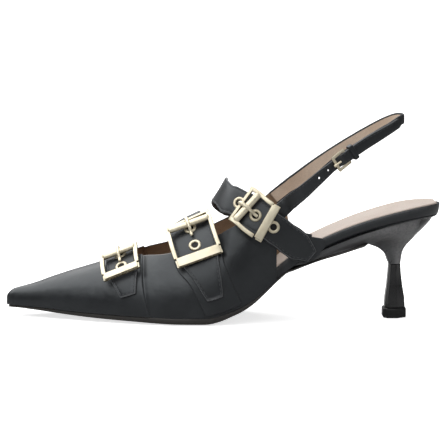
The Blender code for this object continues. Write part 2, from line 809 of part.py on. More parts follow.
def sheet(name, points, out, thickness):
    """Leather through rows of points, thickened to its outer side at the middle."""
    mesh = grid_mesh(name, points)
    across = len(points[0]) - 1
    face = mesh.polygons[(len(points) // 2 - 1) * across + across // 2]
    if np.dot(face.normal, out) < 0:
        mesh.flip_normals()
    made = mesh_object(name, mesh, "leather")
    solidify(made, thickness, 1)
    return made


def band(name, route, outline, lift, thickness, across=4, holes=()):
    """A strap: "outline" has rows of way, low edge and high edge, and lift may vary."""
    points = []
    for way, low, high in outline:
        points.append([
            route.at(way, low + (high - low) * j / across, lift(way))
            for j in range(across + 1)
        ])
    made = sheet(name, points, route.frame(outline[len(outline) // 2][0])[2], thickness)
    for number, way in enumerate(holes):
        cut_hole(made, route, way, lift(way) + thickness / 2, f"{name}_hole_{number}")
    return made


def cut_hole(made, route, way, lift, name):
    cage = bmesh.new()
    bmesh.ops.create_cone(
        cage, cap_ends=True, segments=12, radius1=PUNCH_RADIUS, radius2=PUNCH_RADIUS,
        depth=STRAP_THICKNESS * 8,
    )
    mesh = bpy.data.meshes.new(name)
    cage.to_mesh(mesh)
    cage.free()
    cutter = bpy.data.objects.new(name, mesh)
    cutter.matrix_world = place_on(route, way, 0.0, lift)
    cutter.hide_render = True
    cutter.display_type = "WIRE"
    CUTTERS.objects.link(cutter)
    cut = made.modifiers.new("eyelet hole", "BOOLEAN")
    cut.operation = "DIFFERENCE"
    cut.object = cutter


def place_on(route, way, aside, lift):
    """A matrix with X across, Y along and Z out of a route."""
    along, across, out = route.frame(way)
    point = route.at(way, aside, lift)
    side = np.cross(along, out)
    columns = np.column_stack([side, along, out])
    place = Matrix([list(map(float, row)) for row in columns]).to_4x4()
    place.translation = Vector([float(c) for c in point])
    return place


def eyelet(name, route, way, lift):
    ring = (EYELET_RADIUS - EYELET_HOLE) / 2
    bpy.ops.mesh.primitive_torus_add(
        major_segments=18, minor_segments=6,
        major_radius=(EYELET_RADIUS + EYELET_HOLE) / 2, minor_radius=ring,
    )
    made = bpy.context.object
    made.name = name
    made.data.transform(Matrix.Diagonal((1.0, 1.0, EYELET_HEIGHT / (2 * ring), 1.0)))
    made.matrix_world = place_on(route, way, 0.0, lift + CLEARANCE + EYELET_HEIGHT / 2)
    colour, roughness, metallic = FINISH["gold"]
    made.data.materials.append(material(name, colour, roughness, metallic))
    for other in list(made.users_collection):
        other.objects.unlink(made)
    SHOE.objects.link(made)
    return made


def route_plane(route, way, aside, lift):
    """A point beside a route along its straight across line, as a stiff bar lies."""
    across, out = route.frame(way)[1:]
    return route.at(way, 0.0, 0.0) + across * aside + out * lift


def ring_frame(name, route, ways, half, bar, low, height):
    """A frame with a window, bent to its route, between the first and the last way.

    The first and last steps of "ways" are its end bars, and "low" gives the height of
    its underside at a way along the route.
    """
    asides = [-half, -half + bar, half - bar, half]
    cage = bmesh.new()
    under, over = (
        [
            [cage.verts.new(route_plane(route, way, aside, low(way) + lift)) for aside in asides]
            for way in ways
        ]
        for lift in (0.0, height)
    )
    rows = len(ways) - 1
    filled = {(i, j) for i in range(rows) for j in range(3) if j != 1 or i in (0, rows - 1)}
    for i, j in sorted(filled):
        cage.faces.new((over[i][j], over[i][j + 1], over[i + 1][j + 1], over[i + 1][j]))
        cage.faces.new((under[i][j], under[i + 1][j], under[i + 1][j + 1], under[i][j + 1]))
        sides = (
            ((i - 1, j), (i, j), (i, j + 1)), ((i + 1, j), (i + 1, j + 1), (i + 1, j)),
            ((i, j - 1), (i + 1, j), (i, j)), ((i, j + 1), (i, j + 1), (i + 1, j + 1)),
        )
        for beside, a, b in sides:
            if beside not in filled:
                cage.faces.new((
                    under[a[0]][a[1]], under[b[0]][b[1]], over[b[0]][b[1]], over[a[0]][a[1]],
                ))
    bmesh.ops.recalc_face_normals(cage, faces=cage.faces)
    mesh = bpy.data.meshes.new(name)
    cage.to_mesh(mesh)
    cage.free()
    return mesh_object(name, mesh, "gold")


def round_bar(name, points, radius):
    """A round bar through points in space."""
    curve = bpy.data.curves.new(name, "CURVE")
    curve.dimensions = "3D"
    curve.bevel_depth = radius
    curve.bevel_resolution = 2
    curve.use_fill_caps = True
    line = curve.splines.new("POLY")
    line.points.add(len(points) - 1)
    for spot, point in zip(line.points, points):
        spot.co = (*[float(c) for c in point], 1.0)
    return mesh_object(name, curve, "gold")


def buckle(which, route, hinge, plate, strap_top):
    """A square buckle over a strap: a frame with its plate, a roller and a prong."""
    inner = STRAP_WIDTH[which] / 2 + FRAME_AIR
    low = strap_top + EYELET_HEIGHT + CLEARANCE * 3.5
    start, end = hinge - HINGE_BAR, plate + PLATE_LENGTH[which] / 2
    opening = end - PLATE_LENGTH[which] - hinge
    ways = [start] + [hinge + opening * i / 6 for i in range(7)] + [end]
    ring_frame(
        f"buckle_{which}_frame", route, ways, inner + FRAME_BAR, FRAME_BAR,
        lambda way: low, FRAME_HEIGHT,
    )
    axle = hinge + CLEARANCE + ROLLER_RADIUS
    middle = low + FRAME_HEIGHT / 2
    round_bar(
        f"buckle_{which}_roller",
        [route_plane(route, axle, side * (inner - CLEARANCE), middle) for side in (-1, 1)],
        ROLLER_RADIUS,
    )
    crown = max(middle + ROLLER_RADIUS, low + FRAME_HEIGHT) + CLEARANCE + PRONG_RADIUS
    rest = strap_top + CLEARANCE + EYELET_HEIGHT + CLEARANCE + PRONG_RADIUS
    reach = axle + ROLLER_RADIUS + PRONG_RADIUS
    path = (
        (hinge - HINGE_BAR * 0.6, crown), (axle, crown), (reach + PRONG_RADIUS, crown * 0.92),
        (reach + EYELET_SPACING * 0.16, (crown + rest) / 2),
        (reach + EYELET_SPACING * 0.30, rest), (reach + EYELET_SPACING * 0.48, rest),
    )
    round_bar(
        f"buckle_{which}_prong",
        [route_plane(route, way, 0.0, lift) for way, lift in path],
        PRONG_RADIUS,
    )


def keeper_loop(name, route, way, half, low, high):
    """A loop of leather round a strap, from its underside at "low" to its top at "high"."""
    rings = []
    for end, wall in ((0, 0.0), (0, KEEPER_WALL), (1, KEEPER_WALL), (1, 0.0)):
        place = way + KEEPER_LENGTH * end
        corners = (
            (-half - wall, low - wall), (half + wall, low - wall),
            (half + wall, high + wall), (-half - wall, high + wall),
        )
        rings.append([route_plane(route, place, aside, lift) for aside, lift in corners])
    cage = bmesh.new()
    verts = [[cage.verts.new(p) for p in ring] for ring in rings]
    for i in range(4):
        a, b = verts[i], verts[(i + 1) % 4]
        for j in range(4):
            cage.faces.new((a[j], a[(j + 1) % 4], b[(j + 1) % 4], b[j]))
    bmesh.ops.recalc_face_normals(cage, faces=cage.faces)
    mesh = bpy.data.meshes.new(name)
    cage.to_mesh(mesh)
    cage.free()
    return mesh_object(name, mesh, "leather")


def tapered(start, taper, end, half, tip, count=14, tip_count=5):
    """A strap's outline: even to "taper", then narrowing to the two tip edges at its end."""
    rows = [(start + (taper - start) * i / count, -half, half) for i in range(count + 1)]
    for i in range(1, tip_count + 1):
        share = i / tip_count
        rows.append((
            taper + (end - taper) * share,
            -half + (tip[0] + half) * share,
            half + (tip[1] - half) * share,
        ))
    return rows


# How far the board's upright side stands outside the last, which leans in above it.
SIDE_LEAN = 0.0006

# Heights above the last's surface of what lies on the upper's rear panels.
ON_PANEL = CLEARANCE - SEAM_STEP
ON_BASE = ON_PANEL + BASE_THICKNESS + CLEARANCE * 2


def make_front_strap():
    route = LastRoute(FRONT_ROUTE)
    half = STRAP_WIDTH["front"] / 2
    hinge, plate = route.way_of(0.168), route.way_of(0.529)
    end = route.way_of(0.786)
    taper = plate + PLATE_LENGTH["front"] / 2
    outline = tapered(0.0, taper, end, half, (-0.58 * half, 0.60 * half))
    near = hinge + EYELET_SPACING * 0.15
    holes = (near, near + EYELET_SPACING * 0.90)
    band("strap_front", route, outline, lambda way: CLEARANCE, STRAP_THICKNESS, holes=holes)
    top = CLEARANCE + STRAP_THICKNESS
    for number, way in enumerate(holes, 1):
        eyelet(f"eyelet_front_{number}", route, way, top)
    buckle("front", route, hinge, plate, top)


def make_middle_strap():
    route = LastRoute(MIDDLE_ROUTE)
    half = STRAP_WIDTH["middle"] / 2
    hinge, plate, end = route.way_of(0.263), route.way_of(0.600), route.way_of(0.898)
    taper = plate + PLATE_LENGTH["middle"] / 2
    outline = tapered(0.0, taper, end, half, (-0.445 * half, 0.455 * half))
    crest = route.way_of(0.0)

    def lift(way):
        return ON_PANEL + (ON_BASE - ON_PANEL) * ease((way - crest * 0.9) / (hinge - crest * 0.9))

    near = hinge + HINGE_BAR + EYELET_SPACING * 0.16
    holes = (near, near + EYELET_SPACING)
    band("strap_middle", route, outline, lift, STRAP_THICKNESS, holes=holes)
    top = ON_BASE + STRAP_THICKNESS
    for number, way in enumerate(holes, 1):
        eyelet(f"eyelet_middle_{number}", route, way, top)
    buckle("middle", route, hinge, plate, top)


def make_middle_base():
    edges = smooth_curve(MIDDLE_BASE, MIDDLE_BASE_COLUMNS)
    first, last = MIDDLE_BASE[0][0], MIDDLE_BASE[-1][0]
    points = []
    for i in range(MIDDLE_BASE_STEPS + 1):
        girth = first + (last - first) * i / MIDDLE_BASE_STEPS
        front, rear = edges(girth, "front"), edges(girth, "rear")
        points.append([
            lifted(front + (rear - front) * j / 4, girth, ON_PANEL) for j in range(5)
        ])
    middle = (first + last) / 2
    out = last_normal(edges(middle, "front"), middle)
    sheet("base_middle", points, out, BASE_THICKNESS)


def make_rear_strap():
    route, base_route = LastRoute(REAR_ROUTE), LastRoute(REAR_BASE_ROUTE)
    half = STRAP_WIDTH["rear"] / 2
    hinge, plate, end = route.way_of(0.550), route.way_of(0.715), route.way_of(1.0)
    taper = route.way_of(0.92)
    outline = tapered(0.0, taper, end, half, (-0.48 * half, 0.48 * half), count=22)
    on_side = CLEARANCE + SIDE_LEAN
    over_side = on_side + BASE_THICKNESS + CLEARANCE

    def rise(way, line, low, high):
        first, last = line.way_of(0.61), line.way_of(0.76)
        return low + (high - low) * ease((way - first) / (last - first))

    crest, outer = route.way_of(0.0), route.way_of(0.40)

    def lift(way):
        start = ON_PANEL + (ON_BASE - ON_PANEL) * ease((way - crest) / (outer - crest))
        return rise(way, route, start, over_side)

    near = hinge + HINGE_BAR + EYELET_SPACING * 0.54
    holes = (near - EYELET_SPACING * 0.95, near, near + EYELET_SPACING * 0.95)
    band("strap_rear", route, outline, lift, STRAP_THICKNESS, holes=holes)
    for number, way in enumerate(holes, 1):
        eyelet(f"eyelet_rear_{number}", route, way, lift(way) + STRAP_THICKNESS)
    buckle("rear", route, hinge, plate, lift(plate) + STRAP_THICKNESS)

    def base_lift(way):
        return rise(way, base_route, ON_PANEL, on_side)

    start, foot = base_route.way_of(0.60), base_route.length
    tip = (-0.10 * half, 0.50 * half)
    rows = tapered(start, foot - half * 1.25, foot, half * 1.06, tip, count=10)
    band("base_rear", base_route, rows, base_lift, BASE_THICKNESS)


# The heel strap's middle line from the outer base strap round the back to the inner
# quarter: station, and shares of BALL_WIDTH across (minus is the outer side) and of
# SEAT_RISE up. Then its width as a share of SLING_WIDTH.
SLING_ROUTE = (
    (0.607, -0.345, 1.005, 1.60), (0.6255, -0.330, 1.079, 1.56), (0.644, -0.333, 1.152, 1.52),
    (0.660, -0.362, 1.212, 1.56), (0.681, -0.395, 1.283, 1.54), (0.727, -0.375, 1.468, 1.26),
    (0.750, -0.347, 1.549, 1.03),
    (0.7965, -0.299, 1.694, 1.00), (0.8428, -0.257, 1.820, 1.00), (0.8775, -0.181, 1.908, 1.00),
    (0.905, -0.072, 1.977, 1.00), (0.9125, 0.000, 1.987, 1.00), (0.905, 0.076, 1.993, 1.00),
    (0.8775, 0.188, 1.944, 1.00), (0.8428, 0.257, 1.855, 1.00), (0.7965, 0.306, 1.730, 1.02),
    (0.755, 0.335, 1.606, 1.16), (0.718, 0.345, 1.483, 1.30), (0.6855, 0.318, 1.376, 1.42),
    (0.662, 0.285, 1.306, 1.46), (0.646, 0.260, 1.252, 1.48), (0.620, 0.276, 1.160, 1.50),
)
SMALL_BUCKLE_AT = 0.752
BILLET_TIP_AT = 0.898


def make_sling():
    route = FreeRoute([
        (station_x(at), across * BALL_WIDTH, up * SEAT_RISE)
        for at, across, up, _ in SLING_ROUTE
    ])
    widths = smooth_curve([(k, row[3]) for k, row in enumerate(SLING_ROUTE)], ("k", "width"))
    start = route.way_of_x(station_x(SMALL_BUCKLE_AT))
    end = start + SMALL_FRAME_LENGTH
    tip = route.way_of_x(station_x(BILLET_TIP_AT))
    half = SLING_WIDTH / 2
    high = SMALL_HEIGHT + SLING_THICKNESS * 0.42

    def half_at(way):
        step = float(np.interp(way, route.ways, route.steps))
        return widths(step, "width") * half

    def billet_lift(way):
        return high * ease((way - start - SMALL_BAR) / (SMALL_FRAME_LENGTH - 3 * SMALL_BAR))

    def rows(first, last, count):
        ways = [first + (last - first) * i / count for i in range(count + 1)]
        return [(way, -half_at(way), half_at(way)) for way in ways]

    billet = rows(0.0, tip - half, 30)
    billet += [(tip - half * 0.4, -half * 0.92, half * 0.92), (tip, -half * 0.45, half * 0.45)]
    band("sling_billet", route, billet, billet_lift, SLING_THICKNESS, across=2)
    back = rows(end + CLEARANCE, route.length, 52)
    band("sling_strap", route, back, lambda way: 0.0, SLING_THICKNESS, across=2)

    def frame_low(way):
        share = (way - start) / SMALL_FRAME_LENGTH
        return (SLING_THICKNESS + CLEARANCE * 1.5) * (1 - share)

    window = SMALL_FRAME_LENGTH - 2 * SMALL_BAR
    ways = [start] + [start + SMALL_BAR + window * i / 3 for i in range(4)] + [end]
    ring_frame(
        "sling_buckle_frame", route, ways, half + CLEARANCE + SMALL_BAR, SMALL_BAR,
        frame_low, SMALL_HEIGHT,
    )
    crown = frame_low(start) + SMALL_HEIGHT + CLEARANCE + SMALL_PRONG_RADIUS
    round_bar(
        "sling_buckle_prong",
        [route_plane(route, start + way, 0.0, crown)
         for way in (-SMALL_BAR * 0.4, SMALL_BAR, SMALL_BAR * 2.6)],
        SMALL_PRONG_RADIUS,
    )
    keeper = end + KEEPER_LENGTH * 0.8
    keeper_loop(
        "sling_keeper", route, keeper, half + CLEARANCE, -CLEARANCE,
        high + SLING_THICKNESS + CLEARANCE,
    )


make_upper()
make_outsole()
make_board()
make_sock()
make_heel_block()
make_heel_stem()
make_top_piece()
make_front_strap()
make_middle_strap()
make_middle_base()
make_rear_strap()
make_sling()
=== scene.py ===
"""Looks of a left slingback pump with three buckled straps and a flared heel.

Metres, in the frame of the solids: the toe points to -X, the outer side is -Y, Z is up.
"""

import logging
import math
from dataclasses import dataclass, field
from enum import Enum
from typing import Callable, ClassVar, Sequence

import bmesh
import bpy
import numpy as np
from mathutils import Matrix, Vector


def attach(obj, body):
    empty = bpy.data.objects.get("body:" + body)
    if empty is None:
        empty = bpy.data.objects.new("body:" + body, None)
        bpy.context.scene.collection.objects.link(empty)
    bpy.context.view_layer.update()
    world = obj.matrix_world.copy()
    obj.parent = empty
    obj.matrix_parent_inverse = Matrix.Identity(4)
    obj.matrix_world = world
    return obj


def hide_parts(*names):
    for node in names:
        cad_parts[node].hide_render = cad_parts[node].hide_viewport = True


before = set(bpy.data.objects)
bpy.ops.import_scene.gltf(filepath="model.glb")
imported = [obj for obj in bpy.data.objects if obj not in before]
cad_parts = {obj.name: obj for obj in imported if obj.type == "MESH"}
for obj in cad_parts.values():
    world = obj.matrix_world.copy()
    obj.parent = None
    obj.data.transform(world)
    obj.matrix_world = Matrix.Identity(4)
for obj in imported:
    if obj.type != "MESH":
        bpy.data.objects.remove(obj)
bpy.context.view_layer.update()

log = logging.getLogger("pump")
Array = np.ndarray
Triple = tuple[Array, Array, Array]
Rows = tuple[tuple[float, ...], ...]
Colour = tuple[float, float, float]
Socket = bpy.types.NodeSocket
MM = 0.001

# Sizes that the solids share.
CLEARANCE = 0.0003
WALL = 0.0016
SEAM_STEP = 0.0008
STRAP_THICKNESS = 0.0015
BASE_THICKNESS = 0.0012
SLING_THICKNESS = 0.0013
SIDE_LEAN = 0.0006
DRAFT = 0.0018

# Stations where the upper and the sole end; the upper's inner end leans back.
OUTER_REAR = 0.624
INNER_REAR = 0.642
INNER_LEAN = 0.028
SOLE_END = 0.822

# Heights above the last.
ON_PANEL = CLEARANCE - SEAM_STEP
ON_BASE = ON_PANEL + BASE_THICKNESS + CLEARANCE * 2


class Slot(Enum):
    """Material slots of the record."""

    UPPER = "upper_leather"
    STRAP = "strap_leather"
    RAND = "rand_leather"
    SOCK = "sock"
    SOLE = "sole"
    CUP = "heel_cup"
    STEM = "heel_lacquer"
    TOP_PIECE = "top_piece"
    METAL = "buckle_metal"


# Short tables.


class Table:
    """A short table with named columns, read smoothly between its rows."""

    def __init__(self, names: Sequence[str], rows: Sequence[Sequence[float]]) -> None:
        """Work out the slopes at the rows, so that nothing swings past them.

        Args:
            names: the columns' names; the first column is the place.
            rows: the numbers, in order of place.
        """
        self.names = list(names)
        self.values = np.array(rows, float)
        self.place = self.values[:, 0]
        self.gaps = np.diff(self.place)
        rates = np.diff(self.values, axis=0) / self.gaps[:, None]
        self.slopes = np.zeros_like(self.values)
        self.slopes[0], self.slopes[-1] = rates[0], rates[-1]
        for i in range(1, len(self.place) - 1):
            before, after = rates[i - 1], rates[i]
            near, far = self.gaps[i - 1], self.gaps[i]
            blend = (before * far + after * near) / (near + far)
            most = 3 * np.minimum(np.abs(before), np.abs(after))
            self.slopes[i] = np.where(before * after > 0, np.clip(blend, -most, most), 0.0)

    def read(self, at: Array, name: str) -> Array:
        """Read one column.

        Args:
            at: places in the first column.
            name: the column to read.

        Returns:
            Its value at each place.
        """
        k = self.names.index(name)
        at = np.asarray(at, float)
        i = np.clip(np.searchsorted(self.place, at) - 1, 0, len(self.gaps) - 1)
        t = np.clip((at - self.place[i]) / self.gaps[i], 0.0, 1.0)
        a, b = self.values[i, k], self.values[i + 1, k]
        ma, mb = self.slopes[i, k] * self.gaps[i], self.slopes[i + 1, k] * self.gaps[i]
        low = (2 * t**3 - 3 * t**2 + 1) * a + (t**3 - 2 * t**2 + t) * ma
        return low + (-2 * t**3 + 3 * t**2) * b + (t**3 - t**2) * mb


def ease(t: Array) -> Array:
    """0 to 1 with a soft start and end."""
    t = np.clip(t, 0.0, 1.0)
    return t * t * (3 - 2 * t)


def unit(v: Array) -> Array:
    """The vectors at length 1."""
    return v / np.linalg.norm(v, axis=-1, keepdims=True)


def together(*values: Array) -> list[Array]:
    """The values as arrays of one shape."""
    return np.broadcast_arrays(*(np.asarray(v, float) for v in values))


def ways_along(points: Array) -> Array:
    """Distance along a line, at each of its points."""
    steps = np.linalg.norm(np.diff(points, axis=0), axis=1)
    return np.concatenate([[0.0], np.cumsum(steps)])


def placed(name: str, data: bpy.types.ID) -> bpy.types.Object:
    """A new object in the scene."""
    made = bpy.data.objects.new(name, data)
    bpy.context.scene.collection.objects.link(made)
    return made


LAST_ROWS = (
    (0.000, 0.055, 0.076, 1.02, 0.155, 0.076, 0.05),
    (0.029, 0.088, 0.072, 1.03, 0.188, 0.074, 0.05),
    (0.070, 0.150, 0.064, 1.04, 0.244, 0.072, 0.05),
    (0.111, 0.206, 0.056, 1.05, 0.322, 0.070, 0.05),
    (0.152, 0.261, 0.046, 1.05, 0.395, 0.068, 0.04),
    (0.194, 0.320, 0.036, 1.05, 0.458, 0.066, 0.03),
    (0.235, 0.368, 0.025, 1.05, 0.522, 0.063, 0.02),
    (0.276, 0.414, 0.012, 1.05, 0.594, 0.060, 0.01),
    (0.316, 0.450, 0.000, 1.05, 0.683, 0.058, 0.00),
    (0.369, 0.484, -0.012, 1.05, 0.830, 0.056, -0.01),
    (0.424, 0.500, -0.021, 1.05, 0.985, 0.056, -0.02),
    (0.461, 0.492, -0.028, 1.05, 1.072, 0.056, -0.02),
    (0.491, 0.474, -0.033, 1.06, 1.222, 0.056, -0.02),
    (0.521, 0.448, -0.036, 1.07, 1.418, 0.050, 0.00),
    (0.563, 0.406, -0.039, 1.10, 1.590, 0.040, 0.00),
    (0.605, 0.365, -0.040, 1.14, 1.600, 0.030, 0.00),
    (0.644, 0.336, -0.037, 1.15, 1.520, 0.020, 0.00),
    (0.686, 0.317, -0.032, 1.12, 1.430, 0.010, 0.00),
    (0.727, 0.310, -0.024, 1.08, 1.360, 0.000, 0.00),
    (0.769, 0.314, -0.015, 1.04, 1.300, 0.000, 0.00),
    (0.810, 0.328, -0.007, 1.00, 1.250, 0.000, 0.00),
    (0.852, 0.342, 0.000, 1.00, 1.200, 0.000, 0.00),
    (0.894, 0.347, 0.000, 1.00, 1.200, 0.000, 0.00),
    (1.000, 0.347, 0.000, 1.00, 1.200, 0.000, 0.00),
)
BOTTOM_ROWS = (
    (0.000, 1.00, 0.000, 0.34, 0.34, 0.00),
    (0.029, 0.98, 0.000, 0.36, 0.34, 0.00),
    (0.070, 0.85, 0.000, 0.49, 0.34, 0.00),
    (0.152, 0.52, 0.000, 0.64, 0.34, 0.00),
    (0.218, 0.33, 0.000, 0.78, 0.34, 0.00),
    (0.311, 0.17, 0.000, 0.89, 0.34, 0.00),
    (0.357, 0.06, 0.000, 0.97, 0.34, 0.00),
    (0.400, 0.00, 0.000, 1.00, 0.34, 0.00),
    (0.461, 0.00, 0.000, 1.00, 0.34, 0.00),
    (0.498, 0.00, 0.031, 0.93, 0.36, 0.00),
    (0.521, 0.00, 0.072, 0.84, 0.40, 0.00),
    (0.547, 0.00, 0.124, 0.75, 0.50, 0.00),
    (0.572, 0.00, 0.196, 0.62, 0.64, 0.00),
    (0.595, 0.00, 0.287, 0.46, 0.82, 0.00),
    (0.625, 0.00, 0.412, 0.37, 1.00, 0.00),
    (0.644, 0.00, 0.484, 0.36, 1.00, 0.00),
    (0.662, 0.00, 0.538, 0.36, 1.00, 0.22),
    (0.686, 0.00, 0.600, 0.36, 1.00, 0.42),
    (0.727, 0.00, 0.690, 0.36, 1.00, 0.68),
    (0.769, 0.00, 0.770, 0.36, 0.99, 0.93),
    (0.810, 0.00, 0.839, 0.36, 0.98, 1.02),
    (0.852, 0.00, 0.897, 0.36, 0.98, 1.05),
    (0.894, 0.00, 0.946, 0.36, 1.00, 1.05),
    (0.935, 0.00, 0.981, 0.36, 1.03, 1.05),
    (0.970, 0.00, 0.996, 0.36, 1.08, 1.05),
    (1.000, 0.00, 1.000, 0.36, 1.14, 1.05),
)


@dataclass
class Last:
    """The form that the shoe is made on, from its own sizes and tables."""

    length: float = 0.2635
    ball_width: float = 0.0720
    instep: float = 0.0565
    seat_rise: float = 0.0607
    toe_spring: float = 0.0054
    ball_at: float = 0.438
    sole: float = 0.0045
    board: float = 0.0068
    lip: float = 0.0065
    toe_round: float = 0.024
    toe_blunt: float = 0.45
    seat_round: float = 0.100
    tuck_from: float = 0.70
    probe: float = 0.0005
    halvings: int = 40
    form: Table = field(default_factory=lambda: Table(
        ("at", "half", "centre", "body", "crest", "ridge", "full"), LAST_ROWS))
    floor: Table = field(default_factory=lambda: Table(
        ("at", "spring", "rise", "sole", "board", "lip"), BOTTOM_ROWS))

    def x(self, at: Array) -> Array:
        """Place along the shoe of a station."""
        return (np.asarray(at) - self.ball_at) * self.length

    def tip(self, at: Array) -> Array:
        """1 along the shoe, falling to 0 at the toe's tip."""
        return np.sqrt(np.clip(1 - np.clip(1 - at / self.toe_round, 0, None) ** 2, 0, None))

    def seat(self, at: Array) -> Array:
        """1 along the shoe, falling to 0 at the back of the seat."""
        past = np.clip((at - 1 + self.seat_round) / self.seat_round, 0, None)
        return np.sqrt(np.clip(1 - past**2, 0, None))

    def half(self, at: Array) -> Array:
        """Half width of the line where upper and sole meet."""
        at = np.asarray(at, float)
        return self.form.read(at, "half") * self.ball_width * self.tip(at) * self.seat(at)

    def middle(self, at: Array) -> Array:
        """Middle of that line across the shoe."""
        return self.form.read(at, "centre") * self.ball_width

    def under(self, at: Array) -> Array:
        """Height of the underside before the lip of the waist is added."""
        return (self.floor.read(at, "spring") * self.toe_spring
                + self.floor.read(at, "rise") * self.seat_rise)

    def feather(self, at: Array) -> Array:
        """Height of the line where upper, sole and board meet."""
        return self.under(at) + self.floor.read(at, "sole") * self.sole

    def lip_depth(self, at: Array) -> Array:
        """Depth of the heel's lip under the waist."""
        return self.floor.read(at, "lip") * self.lip

    def board_top(self, at: Array) -> Array:
        """Height of the insole board's top."""
        return self.feather(at) + self.floor.read(at, "board") * self.board

    def height(self, at: Array) -> Array:
        """Height of the crest above the feather line."""
        at = np.asarray(at, float)
        blunt = self.toe_blunt + (1 - self.toe_blunt) * self.tip(at)
        return self.form.read(at, "crest") * self.instep * blunt

    def shoulder(self, angle: Array, at: Array) -> Array:
        """How far a section stands outside an ellipse."""
        return 1 + self.form.read(at, "full") * np.sin(2 * angle) ** 2

    def point(self, at: Array, girth: Array) -> Array:
        """Points of the last's surface.

        Args:
            at: stations from the toe, as shares of the length.
            girth: places round it, -1 at the inner edge, 0 on the crest, +1 at the outer.

        Returns:
            The points, in the last axis.
        """
        at, girth = together(at, girth)
        angle = girth * math.pi / 2
        tuck = 1 - ease((np.abs(girth) - self.tuck_from) / (1 - self.tuck_from))
        swell = (self.form.read(at, "body") - 1) * tuck
        ridge = self.form.read(at, "ridge") * self.ball_width
        centre = self.middle(at) + (ridge - self.middle(at)) * np.cos(angle)
        full = self.shoulder(angle, at)
        wide = self.half(at) * (1 + swell) * full
        tall = self.height(at) * np.cos(angle) * full
        return np.stack([self.x(at), centre - wide * np.sin(angle), self.feather(at) + tall], -1)

    def slopes(self, at: Array, girth: Array) -> tuple[Array, Array]:
        """How the surface runs by station and by girth."""
        step = self.probe
        along = (self.point(at + step, girth) - self.point(at - step, girth)) / (2 * step)
        round_it = (self.point(at, girth + step) - self.point(at, girth - step)) / (2 * step)
        return along, round_it

    def normal(self, at: Array, girth: Array) -> Array:
        """Outward directions of the surface."""
        along, round_it = self.slopes(at, girth)
        return unit(np.cross(round_it, along))

    def lifted(self, at: Array, girth: Array, lift: Array) -> Array:
        """Points a given height above the surface."""
        at, girth, lift = together(at, girth, lift)
        return self.point(at, girth) + self.normal(at, girth) * lift[..., None]

    def girth_of(self, at: Array, share: Array) -> Array:
        """The girth, from the crest down, where the last has a share of its height."""
        low, high = np.zeros_like(at), np.ones_like(at)
        for _ in range(self.halvings):
            mid = (low + high) / 2
            angle = mid * math.pi / 2
            above = np.cos(angle) * self.shoulder(angle, at) > share
            low, high = np.where(above, mid, low), np.where(above, high, mid)
        return (low + high) / 2


LAST = Last()


# Building meshes.


class Cut:
    """A mesh under construction: tubes and sheets that end up as one piece."""

    def __init__(self) -> None:
        """Start empty."""
        self.points: list[Array] = []
        self.faces: list[tuple[int, ...]] = []
        self.marks: list[int] = []
        self.rims: list[Array] = []
        self.count = 0

    def tube(self, rings: Array, marks: Sequence[int] | None = None, rim: Array | None = None,
             closed: bool = False) -> None:
        """Add a tube through rings, capped at its ends.

        Args:
            rings: points, as rings by points of a ring by 3.
            marks: material number of each strip of a ring, or None for 0.
            rim: weight of each point in the rim mask, from 0 to 1, which marks cut edges on some
                pieces, painted highlight on the straps' edges and the heel cup, and painted shade
                on the metal.
            closed: whether the last ring joins the first one, with no caps.
        """
        n, m = rings.shape[:2]
        marks = [0] * m if marks is None else list(marks)
        start = self.count
        faces, marked = [], []
        for i in range(n if closed else n - 1):
            k = (i + 1) % n
            for j in range(m):
                j2 = (j + 1) % m
                faces.append((i * m + j, i * m + j2, k * m + j2, k * m + j))
                marked.append(marks[j])
        if not closed:
            faces += [tuple(range(m))[::-1], tuple((n - 1) * m + j for j in range(m))]
            marked += [marks[0], marks[0]]
        flat = rings.reshape(-1, 3)
        if self.volume(flat, faces) < 0:
            faces = [face[::-1] for face in faces]
        self.points.append(flat)
        self.rims.append(np.zeros(n * m) if rim is None else np.asarray(rim, float).reshape(-1))
        self.faces += [tuple(start + v for v in face) for face in faces]
        self.marks += marked
        self.count += n * m

    @staticmethod
    def volume(points: Array, faces: Sequence[tuple[int, ...]]) -> float:
        """Signed volume of a closed shell."""
        total = 0.0
        for face in faces:
            a = points[face[0]]
            for j in range(1, len(face) - 1):
                total += float(np.dot(a, np.cross(points[face[j]], points[face[j + 1]])))
        return total

    def made(self, name: str, sharp: float = 40.0) -> bpy.types.Object:
        """The finished object, in the scene.

        Args:
            name: its name.
            sharp: edges over this angle, in degrees, stay sharp.

        Returns:
            The object.
        """
        mesh = bpy.data.meshes.new(name)
        flat = np.concatenate(self.points)
        mesh.from_pydata(flat.tolist(), [], self.faces)
        mesh.polygons.foreach_set("material_index", self.marks)
        rim = mesh.attributes.new("rim", "FLOAT", "POINT")
        rim.data.foreach_set("value", np.concatenate(self.rims).astype(np.float32))
        mesh.shade_smooth()
        mesh.set_sharp_from_angle(angle=math.radians(sharp))
        mesh.update()
        return placed(name, mesh)


def dress(piece: bpy.types.Object, materials: Sequence[bpy.types.Material],
          nodes: Sequence[str] = ()) -> None:
    """Give a piece its materials and its place in the part.

    Args:
        piece: the object.
        materials: its materials, in the order of their numbers.
        nodes: the solids that it stands for.
    """
    for material in materials:
        piece.data.materials.append(material)
    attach(piece, "root")
    if nodes:
        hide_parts(*nodes)
    log.info("%s: %d faces", piece.name, len(piece.data.polygons))


# Finishes.


